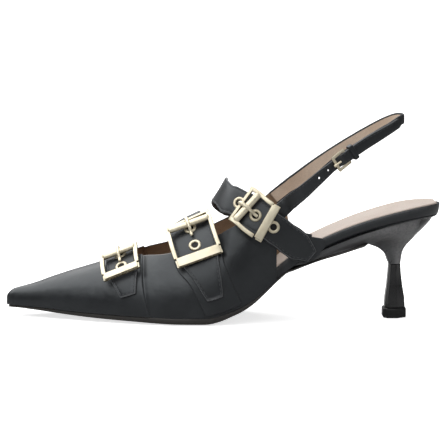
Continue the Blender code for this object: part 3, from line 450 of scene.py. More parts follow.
class Nodes:
    """Short ways to place and link shader nodes in a tree."""

    def __init__(self, tree: bpy.types.NodeTree) -> None:
        """Keep the tree."""
        self.tree = tree

    def add(self, kind: str, values: dict | None = None, **settings: object) -> bpy.types.Node:
        """Place a node.

        Args:
            kind: the node's type.
            values: numbers or sockets for its inputs, by name or number.
            settings: the node's own settings.

        Returns:
            The node.
        """
        node = self.tree.nodes.new(kind)
        for name, value in settings.items():
            setattr(node, name, value)
        for name, value in (values or {}).items():
            if isinstance(value, Socket):
                self.tree.links.new(value, node.inputs[name])
            else:
                node.inputs[name].default_value = value
        return node

    def math(self, kind: str, a: object, b: object, c: object = 0.5) -> Socket:
        """A sum, product or the like of two values, or of three."""
        return self.add("ShaderNodeMath", {0: a, 1: b, 2: c}, operation=kind).outputs[0]

    def span(self, value: object, low: float, high: float, to_low: float = 0.0,
             to_high: float = 1.0) -> Socket:
        """A value mapped from one range to another, softly, and held inside it."""
        return self.add("ShaderNodeMapRange", {
            "Value": value, "From Min": low, "From Max": high,
            "To Min": to_low, "To Max": to_high,
        }, interpolation_type="SMOOTHSTEP").outputs[0]

    def mix(self, share: object, a: object, b: object) -> Socket:
        """A blend of two colours."""
        node = self.add("ShaderNodeMix", {0: share}, data_type="RGBA")
        for socket, value in ((node.inputs[6], a), (node.inputs[7], b)):
            if isinstance(value, Socket):
                self.tree.links.new(value, socket)
            else:
                socket.default_value = value
        return node.outputs[2]

    def noise(self, point: object, scale: object, detail: float = 2.0,
              rough: float = 0.5) -> Socket:
        """Soft noise from 0 to 1."""
        return self.add("ShaderNodeTexNoise", {
            "Vector": point, "Scale": scale, "Detail": detail, "Roughness": rough,
        }).outputs["Fac"]

    def point(self) -> Socket:
        """The place in the piece's own space."""
        return self.add("ShaderNodeTexCoord").outputs["Object"]

    def group(self, tree: bpy.types.NodeTree, **values: float) -> bpy.types.NodeOutputs:
        """The outputs of a shared effect."""
        return self.add("ShaderNodeGroup", values, node_tree=tree).outputs

    def bump(self, height: object, strength: float, distance: float, **values: object) -> Socket:
        """A normal from a height."""
        return self.add("ShaderNodeBump", {
            "Height": height, "Strength": strength, "Distance": distance, **values,
        }).outputs[0]

    def send(self, node: bpy.types.Node, **sockets: object) -> None:
        """Link outputs to a node's inputs, named with _ for a space."""
        for name, socket in sockets.items():
            self.tree.links.new(socket, node.inputs[name.replace("_", " ")])


def effect(name: str, outputs: tuple[str, ...],
           **inputs: float) -> tuple[Nodes, bpy.types.NodeOutputs, bpy.types.Node]:
    """Start a shader node group that several finishes share.

    Args:
        name: its name.
        outputs: its outputs' names.
        inputs: its inputs' names and values.

    Returns:
        Its nodes, what it is given, and the node that its outputs go to.
    """
    tree = bpy.data.node_groups.new(name, "ShaderNodeTree")
    for socket, value in inputs.items():
        made = tree.interface.new_socket(socket, in_out="INPUT", socket_type="NodeSocketFloat")
        made.default_value = value
    for socket in outputs:
        tree.interface.new_socket(socket, in_out="OUTPUT", socket_type="NodeSocketFloat")
    nodes = Nodes(tree)
    return nodes, nodes.add("NodeGroupInput").outputs, nodes.add("NodeGroupOutput")


def grain_effect() -> bpy.types.NodeTree:
    """Leather's fine pebble and pores: a height, and a mask of the hollows."""
    nodes, given, out = effect("leather_grain", ("Height", "Hollows"), Scale=1400.0, Softness=0.5)
    point = nodes.point()
    push = nodes.math("MULTIPLY", nodes.noise(point, 260.0, 3.0), 0.0011)
    moved = nodes.add("ShaderNodeVectorMath", {0: point, 1: push}, operation="ADD").outputs[0]
    cells = nodes.add("ShaderNodeTexVoronoi", {"Vector": moved, "Scale": given["Scale"]},
                      feature="DISTANCE_TO_EDGE").outputs["Distance"]
    pebble = nodes.span(cells, 0.0, 0.28)
    soft = nodes.math("MULTIPLY", pebble, given["Softness"])
    fine = nodes.math("MULTIPLY_ADD", nodes.noise(point, 5200.0), 0.35, soft)
    nodes.send(out, Height=fine, Hollows=nodes.math("SUBTRACT", 1.0, pebble))
    return nodes.tree


def handling_effect() -> bpy.types.NodeTree:
    """Large soft differences from making and handling."""
    nodes, given, out = effect("handling", ("Tone",), Scale=45.0, Amount=1.0)
    broad = nodes.noise(nodes.point(), given["Scale"], 4.0, 0.6)
    nodes.send(out, Tone=nodes.math("MULTIPLY", nodes.span(broad, 0.32, 0.68), given["Amount"]))
    return nodes.tree


def brushed_effect() -> bpy.types.NodeTree:
    """Fine lines that run one way, as brushing or a saw leaves them."""
    nodes, given, out = effect("brushed_lines", ("Lines", "Blots"), Scale=5200.0, Run=0.05)
    point = nodes.point()
    stretch = nodes.add("ShaderNodeCombineXYZ", {0: given["Run"], 1: 1.0, 2: 0.45}).outputs[0]
    run = nodes.add("ShaderNodeVectorMath", {0: point, 1: stretch}, operation="MULTIPLY")
    nodes.send(out, Lines=nodes.noise(run.outputs[0], given["Scale"], 3.0),
               Blots=nodes.span(nodes.noise(point, 220.0, 3.0), 0.35, 0.7))
    return nodes.tree


def rim_effect() -> bpy.types.NodeTree:
    """The rim mask, broken up a little: cut edges on some pieces, painted highlight on the straps'
    edges and the heel cup, painted shade on the metal's lower sides.
    """
    nodes, given, out = effect("worn_rim", ("Mask",), Amount=1.0)
    rim = nodes.add("ShaderNodeAttribute", attribute_name="rim").outputs["Fac"]
    broken = nodes.span(nodes.noise(nodes.point(), 700.0), 0.25, 0.65, 0.55, 1.0)
    nodes.send(out, Mask=nodes.math("MULTIPLY", nodes.math("MULTIPLY", rim, broken),
                                    given["Amount"]))
    return nodes.tree


GRAIN = grain_effect()
HANDLING = handling_effect()
BRUSHED = brushed_effect()
RIM = rim_effect()


@dataclass(frozen=True)
class Finish:
    """A surface: its name and the two tones that its making blends."""

    name: str
    colour: Colour
    light: Colour

    def start(self, values: dict[str, object]) -> tuple[bpy.types.Material, Nodes, bpy.types.Node]:
        """A new material, its nodes, and its shader with its own constants set."""
        made = bpy.data.materials.new(self.name)
        made.use_nodes = True
        shader = made.node_tree.nodes["Principled BSDF"]
        for name, value in values.items():
            shader.inputs[name].default_value = value
        return made, Nodes(made.node_tree), shader

    def tones(self, nodes: Nodes, share: object) -> Socket:
        """The two tones, blended."""
        return nodes.mix(share, (*self.colour, 1), (*self.light, 1))


@dataclass(frozen=True)
class Leather(Finish):
    """Smooth leather, lining or sole leather."""

    # Colour where the rim mask is set: on most pieces their cut edge's own colour, on the buckled
    # straps and the heel cup a painted highlight.
    edge: Colour
    rough: float = 0.42
    rough_span: float = 0.08
    grain: float = 1400.0
    depth: float = 0.10
    gloss: float = 0.85
    uneven: float = 0.0
    tint: Colour = (0.92, 0.97, 1.0)

    def material(self) -> bpy.types.Material:
        """The finished material."""
        made, nodes, shader = self.start({"Specular IOR Level": self.gloss,
                                          "Specular Tint": (*self.tint, 1)})
        grain = nodes.group(GRAIN, Scale=self.grain)
        hand, rim = nodes.group(HANDLING)["Tone"], nodes.group(RIM)["Mask"]
        deep = nodes.mix(nodes.math("MULTIPLY", grain["Hollows"], 0.25), self.tones(nodes, hand),
                         (*[c * 0.45 for c in self.colour], 1))
        rough = nodes.span(hand, 0.0, 1.0, self.rough, self.rough + self.rough_span)
        broad = {}
        if self.uneven:
            waves = nodes.noise(nodes.point(), 90.0)
            broad["Normal"] = nodes.bump(waves, self.uneven, 0.004)
        # Base colour blends to the rim colour by the rim mask: a painted highlight on the straps'
        # edges and the heel cup.
        nodes.send(shader, Base_Color=nodes.mix(rim, deep, (*self.edge, 1)),
                   Roughness=nodes.math("MULTIPLY_ADD", rim, 0.12, rough),
                   Normal=nodes.bump(grain["Height"], self.depth, 0.0002, **broad))
        return made


@dataclass(frozen=True)
class Metal(Finish):
    """Plated, lightly brushed metal, with painted shade on its lower and outer sides where the rim
    mask is set.
    """

    # Dark olive for the lower and outer sides: painted shade.
    side: Colour = (0.150, 0.110, 0.045)
    metallic: float = 0.62
    rough: float = 0.34
    brushed: float = 0.04

    def material(self) -> bpy.types.Material:
        """The finished material."""
        made, nodes, shader = self.start({"Metallic": self.metallic})
        lines = nodes.group(BRUSHED)
        # The rim mask blends in the painted shade.
        colour = nodes.mix(nodes.group(RIM)["Mask"], self.tones(nodes, lines["Blots"]),
                           (*self.side, 1))
        nodes.send(shader, Base_Color=colour,
                   Roughness=nodes.span(lines["Lines"], 0.3, 0.7, self.rough, self.rough + 0.10),
                   Normal=nodes.bump(lines["Lines"], self.brushed, 0.0001))
        return made


@dataclass(frozen=True)
class Lacquer(Finish):
    """Hard glossy or satin plastic or rubber."""

    rough: float = 0.10
    coat: float = 0.6
    texture: float = 0.02

    def material(self) -> bpy.types.Material:
        """The finished material."""
        made, nodes, shader = self.start({"Coat Weight": self.coat, "Coat Roughness": 0.06})
        lines = nodes.group(BRUSHED)
        nodes.send(shader, Base_Color=self.tones(nodes, nodes.group(HANDLING)["Tone"]),
                   Roughness=nodes.span(lines["Blots"], 0.0, 1.0, self.rough, self.rough + 0.06),
                   Normal=nodes.bump(lines["Lines"], self.texture, 0.0001))
        return made


class Finishes:
    """Every material of the shoe, made once."""

    def __init__(self) -> None:
        """Make them."""
        dark, light = (0.0060, 0.0070, 0.0088), (0.0100, 0.0115, 0.0140)
        # Pale grey that the buckled straps show on their rounded edges and ends: a painted
        # highlight.
        edge = (0.165, 0.168, 0.176)
        self.upper = Leather("vamp_leather", dark, light, edge, rough=0.36, uneven=0.12).material()
        self.strap = Leather("strap_leather", dark, light, edge, rough=0.38, grain=1500).material()
        self.rand = Leather("rand_leather", dark, light, (0.060, 0.060, 0.062),
                            rough=0.36).material()
        self.base = Leather("base_leather", dark, light, (0.022, 0.023, 0.026), rough=0.38,
                            grain=1500).material()
        # The heel cover's grey tones, lighter than the black leather, are painted sheen, and its
        # rim colour is a painted highlight before the back crease.
        self.cup = Leather("heel_cover", (0.080, 0.078, 0.080), (0.098, 0.096, 0.098),
                           (0.230, 0.225, 0.228), rough=0.27, depth=0.05).material()
        self.lining = Leather("brown_lining", (0.330, 0.205, 0.122), (0.400, 0.260, 0.160),
                              (0.10, 0.06, 0.035), rough=0.62, depth=0.25).material()
        self.sling_lining = Leather("beige_lining", (0.70, 0.530, 0.395), (0.80, 0.640, 0.505),
                                    (0.30, 0.21, 0.15), rough=0.62, depth=0.25).material()
        self.sock = Leather("sock_leather", (0.64, 0.530, 0.455), (0.70, 0.600, 0.530),
                            (0.55, 0.44, 0.38), rough=0.60, depth=0.18).material()
        self.sole = Leather("sole_edge", (0.024, 0.019, 0.015), (0.034, 0.027, 0.021),
                            (0.028, 0.022, 0.017), rough=0.50, depth=0.25, grain=2200).material()
        self.thread = Leather("thread", (0.045, 0.047, 0.052), (0.065, 0.067, 0.072),
                              (0.03, 0.03, 0.03), rough=0.50, grain=4000).material()
        self.gold = Metal("pale_gold", (0.94, 0.86, 0.66), (0.87, 0.78, 0.58)).material()
        # Near black for the plug in each eyelet's hole: painted shade.
        self.dark = Lacquer("eyelet_well", (0.002, 0.0018, 0.0016), (0.004, 0.0036, 0.003),
                            rough=0.6, coat=0.0).material()
        self.stem = Lacquer("stem_lacquer", (0.004, 0.004, 0.005), (0.007, 0.007, 0.008),
                            rough=0.12, coat=0.45).material()
        # The cut edge's colour also paints the pale band on the outer top edge: a painted
        # highlight.
        self.edge = Leather("cut_edge", (0.24, 0.225, 0.205), (0.32, 0.30, 0.275),
                            (0.30, 0.28, 0.25), rough=0.55, depth=0.2).material()
        self.rubber = Lacquer("top_piece_rubber", (0.010, 0.010, 0.011), (0.016, 0.016, 0.017),
                              rough=0.42, coat=0.0, texture=0.15).material()


# The upper.


@dataclass
class Upper:
    """The vamp and the quarters, cut as one hollow piece with a raised seam on each side."""

    TURNED: ClassVar[int] = 3
    # Material number of the pale band along the outer top edge over the middle panel: a painted
    # highlight.
    TOPLINE_HIGHLIGHT: ClassVar[int] = 6

    throat: float = 0.260
    seam: float = 0.318
    seam_lean: float = 0.019
    seam_front: float = 0.279
    lean_from: float = 0.520
    rows: int = 46
    folded: int = 1
    # Station where that painted highlight band ends.
    highlight_until: float = 0.405
    weld: float = 0.000008
    roll: float = 0.00012
    tuck: float = 0.00022
    folded_edge: float = 0.00045
    outer_top: Table = field(default_factory=lambda: Table(("at", "height"), (
        (0.260, 1.000), (0.276, 0.975), (0.316, 0.900), (0.369, 0.783), (0.424, 0.746),
        (0.461, 0.747), (0.498, 0.673), (0.520, 0.621), (0.542, 0.575), (0.562, 0.510),
        (0.584, 0.410), (0.605, 0.306), (0.625, 0.200),
    )))
    inner_top: Table = field(default_factory=lambda: Table(("at", "height"), (
        (0.260, 1.000), (0.276, 0.990), (0.311, 0.955), (0.366, 0.842), (0.427, 0.789),
        (0.461, 0.787), (0.487, 0.740), (0.517, 0.649), (0.563, 0.571), (0.600, 0.558),
        (0.642, 0.560),
    )))

    def bases(self, rear: float) -> Array:
        """Stations of the columns, closer at the tip, the throat and the seam."""
        seam = self.seam + np.array([-9, -6, -4, -2.6, -1.6, -1.0, -0.55, -0.25, 0.0, 0.2, 0.5,
                                     1.0, 2.0, 3.5]) * MM / LAST.length
        tip = LAST.toe_round * (np.linspace(0, 1, 12) ** 2)
        toe = np.linspace(LAST.toe_round, self.throat, 56)[1:]
        throat = self.throat + (seam[0] - self.throat) * np.linspace(0, 1, 16)[1:-1] ** 1.6
        rest = np.linspace(seam[-1], rear, 66)[1:]
        return np.concatenate([tip, toe, throat, seam, rest])

    def lift(self, base: Array) -> Array:
        """Height of the leather above the last, with its seam and soft creases."""
        past = (base - self.seam) * LAST.length / MM
        step = -SEAM_STEP * ease((past + 0.18) / 0.36)
        roll = -self.roll * np.exp(-((past + 0.30) / 0.22) ** 2)
        tuck = -self.tuck * np.exp(-((past - 0.9) / 0.7) ** 2)
        return step + roll + tuck

    def sheet(self, side: int) -> Array:
        """Points of one side's outer surface.

        Args:
            side: +1 for the outer side, -1 for the inner one.

        Returns:
            Points as columns by rows by 3, from the feather line up.
        """
        rear, lean, top_line = ((OUTER_REAR, 0.0, self.outer_top) if side > 0
                                else (INNER_REAR, INNER_LEAN, self.inner_top))
        base = self.bases(rear)[:, None]
        up = (1 - (1 - np.linspace(0, 1, self.rows + 1)) ** 1.15)[None, :]
        ramp = ease((base - self.lean_from) / (rear - self.lean_from))
        at = base + lean * ramp * (1 - up)
        reach = np.clip(1 - np.abs(base - self.seam) / (self.seam - self.seam_front), 0, None)
        at = at + self.seam_lean * reach * (1 - up) ** 3
        top = np.where(base <= self.throat, 0.0, LAST.girth_of(base, top_line.read(base, "height")))
        girth = side * (1 + (top - 1) * up)
        lift = self.lift(base)
        return np.where((base < LAST.toe_round / 4)[..., None],
                        LAST.point(at, girth), LAST.lifted(at, girth, lift))

    def cage(self) -> bmesh.types.BMesh:
        """The outer surface, its top rows marked as turned leather, and over the outer side's
        middle panel as a pale band in the cut edge's colour: a painted highlight.
        """
        cage = bmesh.new()
        for side in (1, -1):
            points = self.sheet(side)
            verts = [[cage.verts.new(p) for p in column] for column in points]
            for a, b in zip(verts, verts[1:]):
                for j in range(self.rows):
                    ring = (a[j], b[j], b[j + 1], a[j + 1])
                    face = cage.faces.new(ring if side > 0 else ring[::-1])
                    at = LAST.ball_at + ring[0].co.x / LAST.length
                    if j < self.rows - self.folded:
                        continue
                    if side < 0:
                        face.material_index = self.TURNED
                    # The outer top row over the middle panel takes the cut edge's pale colour: a
                    # painted highlight.
                    elif self.seam < at < self.highlight_until:
                        face.material_index = self.TOPLINE_HIGHLIGHT
        bmesh.ops.remove_doubles(cage, verts=cage.verts, dist=self.weld)
        bmesh.ops.recalc_face_normals(cage, faces=cage.faces)
        cage.faces.ensure_lookup_table()
        foremost = max(cage.faces, key=lambda face: -face.calc_center_median().x)
        if foremost.normal.x > 0:
            bmesh.ops.reverse_faces(cage, faces=cage.faces)
        return cage

    def build(self, finish: Finishes) -> None:
        """The upper with its lining and cut edge."""
        cage = self.cage()
        mesh = bpy.data.meshes.new("vamp_and_quarters")
        cage.to_mesh(mesh)
        cage.free()
        mesh.attributes.new("rim", "FLOAT", "POINT")
        mesh.shade_smooth()
        piece = placed("vamp_and_quarters", mesh)
        shell = piece.modifiers.new("wall", "SOLIDIFY")
        shell.thickness, shell.offset, shell.use_even_offset = WALL, -1, True
        shell.thickness_clamp = 1.0
        shell.material_offset, shell.material_offset_rim = 1, 2
        shell.edge_crease_rim = 0.0
        soft = piece.modifiers.new("folded edge", "BEVEL")
        soft.width, soft.segments = self.folded_edge, 3
        soft.limit_method, soft.angle_limit = "ANGLE", math.radians(50)
        # Numbers 6 to 8 serve the painted highlight band: its outer face in the cut edge's colour,
        # its lining and its rim.
        made = (finish.upper, finish.lining, finish.edge) + (finish.upper,) * 3
        dress(piece, made + (finish.edge, finish.lining, finish.edge), ["upper"])


# Routes that straps lie on.


class Route:
    """A middle line with distances along it."""

    probe = 0.0006

    def measure(self, points: Array) -> None:
        """Keep the distances of the line's points and its length."""
        self.ways = ways_along(points)
        self.length = float(self.ways[-1])

    def at(self, way: Array, aside: Array, lift: Array) -> Array:
        """Points beside the line at a height above it."""
        raise NotImplementedError


class LastRoute(Route):
    """A middle line drawn on the last."""

    def __init__(self, rows: Sequence[tuple[float, float]]) -> None:
        """Measure the line.

        Args:
            rows: girth and station at places along it.
        """
        read = Table(("girth", "at"), rows)
        self.girths = np.linspace(rows[0][0], rows[-1][0], 240)
        self.stations = read.read(self.girths, "at")
        self.measure(LAST.point(self.stations, self.girths))

    def way_of(self, girth: float) -> float:
        """Distance along the line of a girth."""
        return float(np.interp(girth, self.girths, self.ways))

    def middle(self, way: Array) -> tuple[Array, Array]:
        """Station and girth at a distance along."""
        return np.interp(way, self.ways, self.stations), np.interp(way, self.ways, self.girths)

    def frame(self, way: Array) -> Triple:
        """Directions along, across towards the heel, and out."""
        step = self.probe
        along = unit(LAST.point(*self.middle(way + step)) - LAST.point(*self.middle(way - step)))
        out = LAST.normal(*self.middle(way))
        return along, unit(np.cross(out, along)), out

    def at(self, way: Array, aside: Array, lift: Array) -> Array:
        """Points beside the line, on the last's own surface, at a height above it."""
        way, aside, lift = together(way, aside, lift)
        inside = np.clip(way, 0.0, self.length)
        at, girth = self.middle(inside)
        along, across, _ = self.frame(inside)
        move = across * aside[..., None] + along * (way - inside)[..., None]
        by_at, by_girth = LAST.slopes(at, girth)
        aa, gg = (by_at**2).sum(-1), (by_girth**2).sum(-1)
        ag = (by_at * by_girth).sum(-1)
        ma, mg = (by_at * move).sum(-1), (by_girth * move).sum(-1)
        spread = aa * gg - ag * ag
        at = at + (ma * gg - mg * ag) / spread
        girth = girth + (mg * aa - ma * ag) / spread
        return LAST.lifted(at, girth, lift)

    def plane(self, way: Array, aside: Array, lift: Array) -> Array:
        """Points beside the line on its straight across direction, as a stiff bar lies."""
        way, aside, lift = together(way, aside, lift)
        _, across, out = self.frame(way)
        return self.at(way, 0.0, 0.0) + across * aside[..., None] + out * lift[..., None]


class PanelRoute(Route):
    """A patch on the last between two edges: ways run down it, and asides along the shoe."""

    def __init__(self, rows: Sequence[tuple[float, float, float]]) -> None:
        """Measure the patch.

        Args:
            rows: girth, and the stations of the front and rear edges there.
        """
        self.read = Table(("girth", "front", "rear"), rows)
        self.girths = np.linspace(rows[0][0], rows[-1][0], 120)
        self.measure(LAST.point(self.centre(self.girths), self.girths))

    def centre(self, girth: Array) -> Array:
        """Station midway between the edges."""
        return (self.read.read(girth, "front") + self.read.read(girth, "rear")) / 2

    def edges(self, way: Array) -> tuple[Array, Array]:
        """Places of both edges, in metres from the middle."""
        girth = np.interp(way, self.ways, self.girths)
        wide = (self.read.read(girth, "rear") - self.read.read(girth, "front")) * LAST.length / 2
        return -wide, wide

    def at(self, way: Array, aside: Array, lift: Array) -> Array:
        """Points of the patch at a height above the last."""
        girth = np.interp(way, self.ways, self.girths)
        return LAST.lifted(self.centre(girth) + aside / LAST.length, girth, lift)


class FreeRoute(Route):
    """A middle line in space, for a strap that stands by itself."""

    probe = 0.0012
    finer = 40
    smoothings = 60

    def __init__(self, points: Array) -> None:
        """Smooth and measure the line.

        Args:
            points: places that it passes near.
        """
        count = len(points)
        read = Table(("k", "x", "y", "z"), [(k, *p) for k, p in enumerate(points)])
        self.steps = np.linspace(0, count - 1, self.finer * (count - 1) + 1)
        self.points = np.stack([read.read(self.steps, c) for c in "xyz"], -1)
        for _ in range(self.smoothings):
            inner = self.points[:-2] + 2 * self.points[1:-1] + self.points[2:]
            self.points[1:-1] = inner / 4
        self.measure(self.points)

    def middle(self, way: Array) -> Array:
        """Points of the line."""
        return np.stack([np.interp(way, self.ways, self.points[:, c]) for c in range(3)], -1)

    def way_of_x(self, x: float) -> float:
        """The first distance along at which the line reaches x."""
        return float(self.ways[np.nonzero(self.points[:, 0] >= x)[0][0]])

    def frame(self, way: Array) -> Triple:
        """Directions along, across and out."""
        step = self.probe
        along = unit(self.middle(np.minimum(way + step, self.length))
                     - self.middle(np.maximum(way - step, 0.0)))
        out = unit(np.cross(along, (0.0, 0.0, 1.0)))
        return along, np.cross(out, along), out

    def at(self, way: Array, aside: Array, lift: Array) -> Array:
        """Points beside the line at a height above it."""
        way, aside, lift = together(way, aside, lift)
        along, across, out = self.frame(way)
        over = way - np.clip(way, 0.0, self.length)
        return (self.middle(way) + along * over[..., None] + across * aside[..., None]
                + out * lift[..., None])


# Straps.


@dataclass
class Band:
    """A leather strap on a route, with rounded edges and a pressed line for its stitches."""

    route: Route
    thickness: float
    lift: Callable[[Array], Array]
    edge: float = 0.00045
    line_in: float = 0.0014
    line_deep: float = 0.00010
    crown: float = 0.00012
    turned: float = 0.0007

    def section(self, low: Array, high: Array) -> tuple[Array, Array, Array, list[int]]:
        """The strap's section between two edges.

        Args:
            low, high: places of the edges across the route.

        Returns:
            Places across, heights as shares of the thickness plus metres, rim, and marks.
        """
        wide = np.maximum(high - low, 1e-5)
        edge = np.minimum(self.edge, wide * 0.2)
        shrink = np.minimum(1.0, wide / (5 * self.line_in))
        turn = np.radians([-60, -20, 20, 60])
        across, shares, more, rim, marks = [], [], [], [], []

        def put(place: Array, share: float, extra: Array | float, rim_weight: float, mark: int) -> None:
            """Add a point of the section."""
            across.append(place)
            shares.append(share)
            more.append(np.broadcast_to(extra, np.shape(place)))
            rim.append(rim_weight)
            marks.append(mark)

        turned = np.minimum(self.turned, wide * 0.15)
        # Rim weights: the rounded edges and the top's outermost line take the rim colour, a painted
        # highlight on the buckled straps and a dark edge on the base leather.
        put(low + edge, 0.0, 0.0, 0.6, 0)
        for s in np.linspace(0, 1, 4):
            put(low + edge + turned + (wide - 2 * edge - 2 * turned) * s, 0.0, 0.0, 0.0, 1)
        marks[-1] = 0
        put(high - edge, 0.0, 0.0, 0.6, 0)
        for t in turn:
            put(high - edge + edge * np.cos(t), 0.5 + 0.5 * math.sin(t), 0.0, 1.0, 0)
        groove = list(zip((0.0, 0.55, 0.82, 1.0, 1.18, 1.5, 2.4),
                          (0.0, 0.0, 0.55, 1.0, 0.55, 0.0, 0.0)))
        top = [(high - np.maximum(edge, self.line_in * k * shrink), k, dip) for k, dip in groove]
        top += [((low + high) / 2, None, 0.0)]
        top += [(low + np.maximum(edge, self.line_in * k * shrink), k, dip)
                for k, dip in groove[::-1]]
        for place, k, dip in top:
            height = self.crown if k is None else self.raised(place, low, high)
            put(place, 1.0, height - self.line_deep * dip, 0.25 * (k == 0), 0)
        for t in turn[::-1]:
            put(low + edge - edge * np.cos(t), 0.5 + 0.5 * math.sin(t), 0.0, 1.0, 0)
        return (np.stack(across, -1), np.array(shares), np.stack(more, -1),
                np.array(rim)), marks

    def raised(self, place: Array, low: Array, high: Array) -> Array:
        """Height of the strap's slight crown at a place across it."""
        middle, half = (low + high) / 2, np.maximum((high - low) / 2, 1e-5)
        return self.crown * (1 - ((place - middle) / half) ** 2)

    def grid(self, ways: Array, low: Array, high: Array) -> tuple[Array, Array, list[int]]:
        """Rings of the strap, with rounded ends.

        Args:
            ways: distances along the route.
            low, high: places of the edges there.

        Returns:
            Rings, rim and marks.
        """
        rounding = np.radians([90, 60, 30])
        inset, sunk = self.edge * (1 - np.cos(rounding)), self.edge * (1 - np.sin(rounding))
        ways = np.concatenate([ways[0] + sunk, ways[1:-1], (ways[-1] - sunk)[::-1]])
        low = np.concatenate([low[0] + inset, low[1:-1], (low[-1] + inset)[::-1]])
        high = np.concatenate([high[0] - inset, high[1:-1], (high[-1] - inset)[::-1]])
        thin = np.cos(rounding) * 0.9 + 0.1
        thin = np.concatenate([thin, np.ones(len(ways) - 6), thin[::-1]])
        (across, shares, more, rim), marks = self.section(low, high)
        lift = np.asarray(self.lift(ways), float) * np.ones(len(ways))
        middle = self.thickness / 2
        tall = lift[:, None] + middle + (shares * self.thickness - middle) * thin[:, None]
        tall = tall + more * thin[:, None]
        along = np.broadcast_to(ways[:, None], across.shape)
        rims = np.broadcast_to(rim, across.shape).copy()
        # Both ends take the rim colour in full: the same painted highlight on the buckled straps.
        rims[:3], rims[-3:] = 1.0, 1.0
        return self.route.at(along, across, tall), rims, marks

    def build(self, ways: Array, low: Array, high: Array, name: str) -> bpy.types.Object:
        """The strap as an object."""
        rings, rim, marks = self.grid(ways, low, high)
        cut = Cut()
        cut.tube(rings, marks, rim)
        return cut.made(name, 55)

    def line(self, ways: Array, low: Array, high: Array, across_end: bool = True) -> Array:
        """The line of the stitches: up one edge, across the end, and back.

        Args:
            ways, low, high: the strap's outline.
            across_end: whether the line turns across the end.

        Returns:
            Points with their outward directions, by 2 by 3.
        """
        inset = self.line_in
        stop = ways <= ways[-1] - inset
        w = np.append(ways[stop], ways[-1] - inset)
        lo = np.interp(w, ways, low) + inset
        hi = np.interp(w, ways, high) - inset
        if across_end:
            turn = np.linspace(lo[-1], hi[-1], 6)[1:-1]
            way = np.concatenate([w, np.full(4, w[-1]), w[::-1]])
            aside = np.concatenate([lo, turn, hi[::-1]])
        else:
            way, aside = np.concatenate([w, w[::-1]]), np.concatenate([lo, hi[::-1]])
        top = np.asarray(self.lift(way)) * np.ones(len(way)) + self.thickness - self.line_deep * 0.3
        low_points = self.route.at(way, aside, top)
        high_points = self.route.at(way, aside, top + 0.001)
        return np.stack([low_points, unit(high_points - low_points)], 1)


@dataclass
class Thread:
    """Stitches of one thickness and pitch."""

    pitch: float = 0.0026
    gap: float = 0.0007
    radius: float = 0.00026

    def sew(self, cut: Cut, line: Array) -> None:
        """Add stitches along a line.

        Args:
            cut: the mesh that they go into.
            line: points with their outward directions, by 2 by 3.
        """
        points, outs = line[:, 0], line[:, 1]
        keep = np.concatenate([[True], np.diff(ways_along(points)) > 1e-7])
        points, outs = points[keep], outs[keep]
        ways = ways_along(points)

        def read(rows: Array, way: Array) -> Array:
            """Rows read at distances along."""
            return np.stack([np.interp(way, ways, rows[:, c]) for c in range(3)], -1)

        turns = np.linspace(0, 2 * math.pi, 7)[:-1]
        for k in range(int(ways[-1] / self.pitch)):
            start = k * self.pitch + self.gap / 2
            way = start + (self.pitch - self.gap) * np.array([0.0, 0.12, 0.5, 0.88, 1.0])
            middle, out = read(points, way), unit(read(outs, way))
            along = unit(np.gradient(middle, axis=0))
            side = unit(np.cross(along, out))
            size = self.radius * np.array([0.35, 0.85, 1.0, 0.85, 0.35])
            sunk = self.radius * np.array([-1.1, -0.2, 0.15, -0.2, -1.1])
            middle = middle + out * sunk[:, None]
            ring = (middle[:, None] + side[:, None] * (np.cos(turns)[None, :, None]
                    * size[:, None, None]) + out[:, None] * (np.sin(turns)[None, :, None]
                    * size[:, None, None]))
            cut.tube(ring)


def bar(cut: Cut, centres: Array, sides: Array, ups: Array, width: float, height: float,
        corner: float, end: float | None = None, turns: int = 4) -> None:
    """Add a bar with a rounded rectangular section and rounded ends.

    Args:
        cut: the mesh that it goes into.
        centres: its middle line.
        sides, ups: directions of its width and height at each point.
        width, height: its section.
        corner: radius of its long edges.
        end: radius of its end edges, or None for the same.
        turns: facets in a corner.
    """
    end = corner if end is None else end
    corner = min(corner, width / 2 - 1e-6, height / 2 - 1e-6)
    shape, rim_weight = [], []
    for quarter in range(4):
        x = (width / 2 - corner) * (1 if quarter in (0, 3) else -1)
        y = (height / 2 - corner) * (1 if quarter in (0, 1) else -1)
        for k in range(turns + 1):
            angle = (quarter + k / turns) * math.pi / 2
            shape.append((x + corner * math.cos(angle), y + corner * math.sin(angle)))
            # Rim weight 1 under the bar and at its sides, 0 on top: the metal shows painted shade
            # there.
            rim_weight.append(1 - max(0.0, math.sin(angle)) ** 2)
    shape = np.array(shape)
    first, last = unit(centres[1] - centres[0]), unit(centres[-1] - centres[-2])
    caps = [(1 - math.cos(b), end * (1 - math.sin(b))) for b in np.radians([0, 30, 60, 90])]
    rings = [(centres[0] + first * end * run, shrink, sides[0], ups[0]) for run, shrink in caps]
    rings += [(centres[k], 0.0, sides[k], ups[k]) for k in range(1, len(centres) - 1)]
    rings += [(centres[-1] - last * end * run, shrink, sides[-1], ups[-1])
              for run, shrink in caps[::-1]]
    grid = []
    for centre, shrink, side, up in rings:
        across = shape[:, 0] * (1 - 2 * shrink / width)
        over = shape[:, 1] * (1 - 2 * shrink / height)
        grid.append(centre + side * across[:, None] + up * over[:, None])
    rim = np.tile(rim_weight, (len(grid), 1))
    # Both ends in painted shade too.
    rim[0] = rim[-1] = 1.0
    cut.tube(np.array(grid), rim=rim)


